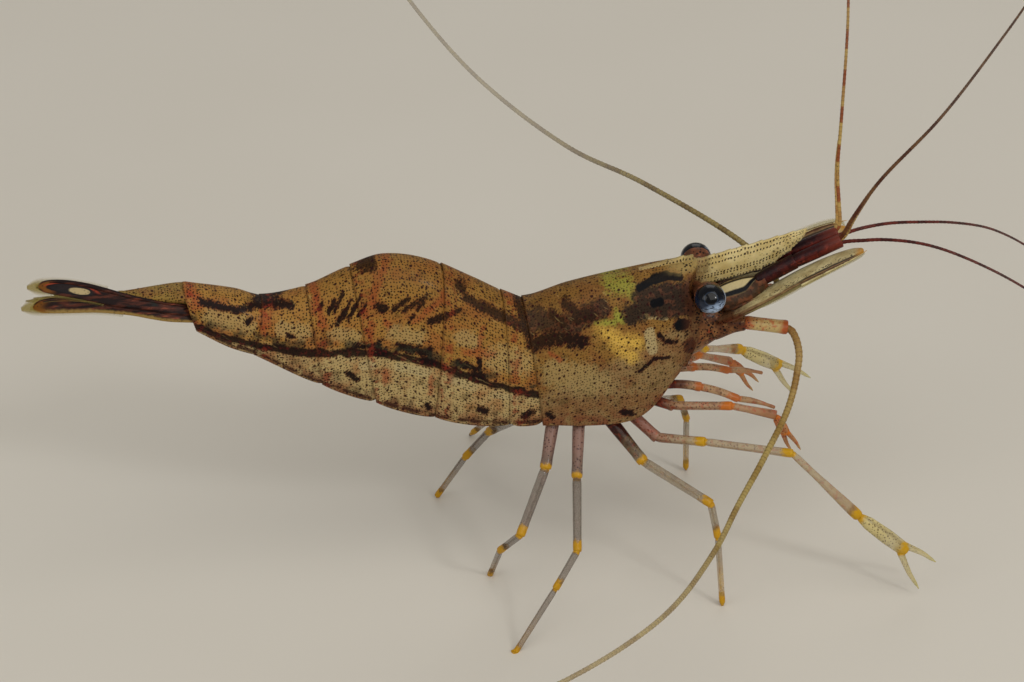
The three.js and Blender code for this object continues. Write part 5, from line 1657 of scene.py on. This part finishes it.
# %% Paddles
# Each pair: x of its root, reach forward, place beside the midline and half-width.
PADDLES = [
    (-1.3, 2.9, 0.95, 0.55), (-4.4, 4.4, 0.95, 0.6), (-8.4, 5.0, 0.9, 0.55), (-12.0, 4.6, 0.75, 0.45),
    (-15.2, 3.1, 0.6, 0.34),
]
for index, (x, reach, y, wide) in enumerate(PADDLES, 1):
    root_z = height(BELLY, x) - 0.4
    tip_z = float(height(HEM, x + reach)) - 0.35
    knee_z = root_z - 0.35 * (root_z - tip_z)
    place_x = x + np.array([0, 0.55, 0.5 * reach, 0.85 * reach, reach])
    place_z = knee_z + (tip_z - knee_z) * np.array([0, 0, 0.45, 0.86, 1.0])
    place_z[0] = root_z
    for name, side in SIDES.items():
        line = route(np.stack([place_x, 0 * place_x + side * y, place_z], 1), 60)
        share = np.linspace(0, 1, 61)
        girth = wide * np.interp(share, [0, 0.1, 0.25, 0.6, 0.9, 1], [0.6, 0.8, 0.75, 0.95, 0.6, 0.1])
        stem = tube(line[:16], np.interp(share[:16], [0, 0.25], [0.34, 0.26]), sides=18, share=share[:16])
        blade = tube(line[10:], girth[10:], 0.045, (0, 1, 0.2 * side), 40, cup=0.2, share=share[10:])
        other = line[10:] + np.array([0.1, side * 0.42, 0.22]) * share[10:, None]
        second = tube(other, 0.8 * girth[10:], 0.04, (0, 1, 0.5 * side), 40, cup=0.2, share=share[10:])
        node = f"pleopod_{index}_{name}"
        make_piece(node, [stem, blade, second], paddle_blade, "pleopod", node)

# %% [markdown]
# ## Tail fan
# The telson is a tapering plate with two pairs of small spines on its back and a few at its tip. On each
# side of it lie two blades, each with a rib and a hair fringe round its end. In this species the inner
# blades carry dark looped outlines that close round a pale window near the tip, with amber behind it. The
# loops are ellipses in the marks share and across, so they bend with the blade.


# %% Tail fan finishes
def fan_finish(name, window, low_edge):
    """A dark maroon blade with red streaks. across 1 is its outer, lower edge. window is 1 where a black
    loop closes round a pale spot near the tip, and low_edge is 1 where the lower edge is tan."""
    paint = Paint(name)
    across, share = paint.mark("across"), paint.mark("share")
    stir = paint.cloud(0.3, 3.0) - 0.5
    streak = paint.cloud(0.22, 3.0, paint.stretched((0.16, 1.0, 1.0)))
    paint.ground(streak.ramp(0.42, 0.62), (26, 11, 10), (78, 38, 26))
    paint.layer(streak.ramp(0.62, 0.72) * 0.75, (150, 76, 52))
    shade = paint.cloud(0.35, 2.0, paint.stretched((0.3, 1.0, 1.0)))
    paint.layer(shade.ramp(0.6, 0.7) * 0.7, (30, 34, 30))
    paint.layer((across + stir * 0.5).ramp(0.35, 0.8) * low_edge * 0.85, (150, 122, 66))
    far, out = (share - 0.7) / 0.18, (across - 0.05) / 0.62
    inside = far * far + out * out + stir * 0.2
    amber = inside.near(1.6, 1.6, 0.3) * share.ramp(0.78, 0.87)
    paint.layer(amber * 0.9, (116, 70, 16))
    pink = inside.near(1.05, 0.5, 0.1) * across.ramp(0.1, -0.4) * window
    paint.layer(pink * 0.8, (164, 60, 36))
    outline = inside.near(0.72, 0.34, 0.16) * share.ramp(0.44, 0.6) * window
    paint.layer(outline * 0.97, (16, 9, 12))
    paint.layer(inside.ramp(0.8, 0.6) * window * 0.9, (30, 25, 27))
    near, clear = (share - 0.645 - across * 0.03) / 0.082, (across - 0.1) / 0.44
    spot = (near * near + clear * clear + stir * 0.35).ramp(0.9, 0.6) * window
    paint.layer(spot * 0.9, (184, 164, 120))
    end = share + across * across * 0.04 + stir * 0.04
    paint.layer(end.ramp(0.95, 1.0), (140, 122, 60))
    top = (across + 0.9 + stir * 0.15).ramp(0.14, 0.02) * share.ramp(0.9, 0.8)
    paint.layer(top * 0.9, (22, 9, 11))
    paint.layer(paint.dots(0.2, 0.05) * 0.5, INK)
    alpha = 0.99 - 0.3 * end.ramp(0.93, 1.0)
    return paint.finish(0.36, streak, 0.03, (0.04, 0.1), Alpha=alpha, Specular_IOR_Level=0.07)


fan_inner = fan_finish("fan_inner", 1.0, 0.0)
fan_outer = fan_finish("fan_outer", 0.0, 1.0)
fringe_olive = fringe_finish("fringe_olive", (150, 134, 66), 0.8, 0.045)

# %% Telson: x, height, half-width and half-thickness of its ovals
TELSON = [
    (-20.4, 21.75, 1.0, 0.55), (-21.1, 21.85, 1.0, 0.52), (-22.0, 21.9, 0.9, 0.46),
    (-24.3, 21.92, 0.56, 0.32), (-25.6, 21.96, 0.36, 0.24), (-26.5, 22.0, 0.16, 0.12),
]


def spread(stations, count):
    """Even steps through stations of a line's points and its sizes."""
    stations = np.array(stations, float)
    return curve(np.arange(len(stations)), stations, np.linspace(0, len(stations) - 1, count)).T


x, z, wide, high = spread(TELSON, 110)
line = np.stack([x, 0 * x, z], 1)
plate, _ = tube(line, wide, high, (0, 1, 0), 64, cup=-0.12)
run = run_along(plate)
way_round = np.minimum(run, run[:, -1:] - run)
keep = {"level": 1.0, "hem": 3.0, "rear": 5.0, "round": way_round, **stroke_marks(plate)}
spines = []
for at, y, size in ((-23.4, 0.5, 0.4), (-24.7, 0.36, 0.36), (-26.3, 0.14, 0.5), (-26.4, 0.05, 0.4)):
    for side in (-1, 1):
        on_back = at > -26
        start = np.array([at, side * y, 22.12 if on_back else 22.02])
        way = np.array([-1, side * 0.12, 0.12 if on_back else 0.0]) * size
        line = start + np.linspace(0, 1, 14)[:, None] * way
        spine, _ = tube(line, np.linspace(0.05, 0.008, 14), sides=8)
        spines.append((spine, {key: 0.0 if key in STROKES else 1.0 for key in keep}))
make_piece("telson", [(plate, keep), *spines], telson_shell, "telson", "telson")

# %% [markdown]
# ## Blades of the fan
# Each blade is a thin leaf that leans, with a rib laid along its upper side and a see-through leaf of hairs
# round its far end. The two sides aren't mirrored, because the animal spreads them unevenly.

# %% Blades of the fan
# Each blade: its lean in degrees, and places of its middle line with its half-width there.
FAN = {
    "inner_right": (
        52,
        [(-20.4, -0.82, 21.05, 0.4), (-22.0, -0.92, 21.45, 0.4), (-23.4, -0.95, 21.85, 0.38)]
        + [(-24.8, -0.88, 22.22, 0.46), (-26.2, -0.74, 22.64, 0.53), (-27.2, -0.62, 22.93, 0.54)]
        + [(-28.4, -0.52, 23.2, 0.52), (-29.5, -0.46, 23.36, 0.4), (-30.15, -0.43, 23.38, 0.1)],
    ),
    "outer_right": (
        55,
        [(-20.3, -0.98, 20.62, 0.34), (-21.9, -1.08, 20.98, 0.42), (-23.0, -1.1, 21.28, 0.42)]
        + [(-24.3, -1.06, 21.6, 0.38), (-26.3, -0.98, 21.98, 0.42), (-28.4, -0.92, 22.18, 0.5)]
        + [(-29.85, -0.9, 22.2, 0.42), (-30.6, -0.9, 22.1, 0.1)],
    ),
    "inner_left": (
        50,
        [(-20.4, 0.8, 21.0, 0.24), (-22.0, 0.85, 21.1, 0.3), (-24.6, 0.8, 21.3, 0.46)]
        + [(-27.2, 0.6, 21.6, 0.52), (-28.8, 0.5, 21.9, 0.42), (-29.8, 0.45, 22.05, 0.1)],
    ),
    "outer_left": (
        52,
        [(-20.3, 1.0, 20.6, 0.34), (-22.0, 1.2, 20.72, 0.42), (-24.6, 1.32, 20.88, 0.5)]
        + [(-27.2, 1.28, 21.15, 0.58), (-29.2, 1.12, 21.42, 0.46), (-30.3, 1.0, 21.55, 0.1)],
    ),
}

for name, (lean, stations) in FAN.items():
    side = -1 if name.endswith("right") else 1
    x, y, z, wide = spread(stations, 130)
    line, share = np.stack([x, y, z], 1), np.linspace(0, 1, 130)
    outward = np.array([0, side * math.cos(math.radians(lean)), -math.sin(math.radians(lean))])
    top = np.array([0, side * math.sin(math.radians(lean)), math.cos(math.radians(lean))])
    blade = tube(line, wide, 0.045 + 0.06 * (1 - share), outward, 60, cup=0.08, share=share)
    rib_line = line[4:110] + 0.08 * top - 0.62 * wide[4:110, None] * outward
    rib_high = 0.1 - 0.06 * share[4:110]
    rib = tube(rib_line, rib_high, 0.9 * rib_high, outward, 20, share=share[4:110] * 0.6)
    finish = fan_inner if name.startswith("inner") else fan_outer
    make_piece(f"uropod_{name}", [blade, rib], finish, "tail_fan", f"uropod_{name}")
    hairs = line[60:] + np.array([-0.55, 0, 0.0]) * rise(share[60:], 0.5, 1.0)[:, None]
    reach = (wide[60:] + 0.22) * np.sqrt(np.clip(1 - rise(share[60:], 0.8, 1.06) ** 2, 0.02, 1))
    tip = np.sqrt(np.clip(1.02 - rise(share[60:], 0.9, 1.0), 0, 1))
    reach = np.maximum(reach, 0.45 * rise(share[60:], 0.5, 0.8) * tip)
    fringe = tube(hairs, reach, 0.01, outward, 40, cup=0.08)
    make_piece(f"fan_fringe_{name}", [fringe], fringe_olive, "tail_fan", f"uropod_{name}")

# %% [markdown]
# ## Floor and light
# The model stands on a plain pale floor in soft light: a broad lamp high over the right flank, weaker ones
# from behind the tail and from the left for the rims, and a pale sky that fills the shadows. A small lamp
# ahead on the right draws the sharp sparkle on wet shell, which broad lamps can't.

# %% Floor
bpy.context.scene.view_settings.view_transform = "Standard"
floor_mesh = bpy.data.meshes.new("floor")
floor_mesh.from_pydata([(-2, -2, 0), (2, -2, 0), (2, 2, 0), (-2, 2, 0)], [], [(0, 1, 2, 3)])
floor_paint = Paint("floor_paint")
floor_paint.ground(floor_paint.cloud(30), (214, 208, 196), (220, 215, 204))
floor_mesh.materials.append(floor_paint.finish(0.85))
floor = bpy.data.objects.new("floor", floor_mesh)
bpy.context.scene.collection.objects.link(floor)
print("floor:", floor.name)


# %% Lamps and sky
def lamp(name, way, distance, size, watts, tint):
    """A square area lamp that looks at the model from that way."""
    data = bpy.data.lights.new(name, "AREA")
    data.size, data.energy, data.color = size, watts, tint
    lit = bpy.data.objects.new(name, data)
    way = Vector(way).normalized()
    lit.location = target + distance * way
    lit.rotation_mode = "QUATERNION"
    lit.rotation_quaternion = way.to_track_quat("Z", "Y")
    bpy.context.scene.collection.objects.link(lit)


lamp("key_lamp", (0.25, -0.65, 1.0), 0.5, 0.55, 1.36, (1.0, 0.97, 0.92))
lamp("side_lamp", (-0.9, -0.5, 0.6), 0.45, 0.25, 0.3, (1.0, 0.98, 0.95))
lamp("rear_lamp", (0.2, 0.9, 0.7), 0.45, 0.25, 0.2, (1.0, 0.98, 0.95))
lamp("sparkle_lamp", (0.5, -0.63, 0.58), 0.5, 0.07, 0.36, (1.0, 1.0, 1.0))
sky = bpy.data.worlds.new("sky")
sky.use_nodes = True
sky.node_tree.nodes["Background"].inputs["Color"].default_value = (1.0, 0.98, 0.95, 1)
sky.node_tree.nodes["Background"].inputs["Strength"].default_value = 0.24
bpy.context.scene.world = sky
print("pieces:", len(pieces_made), "faces:", sum(count for _, count in pieces_made))
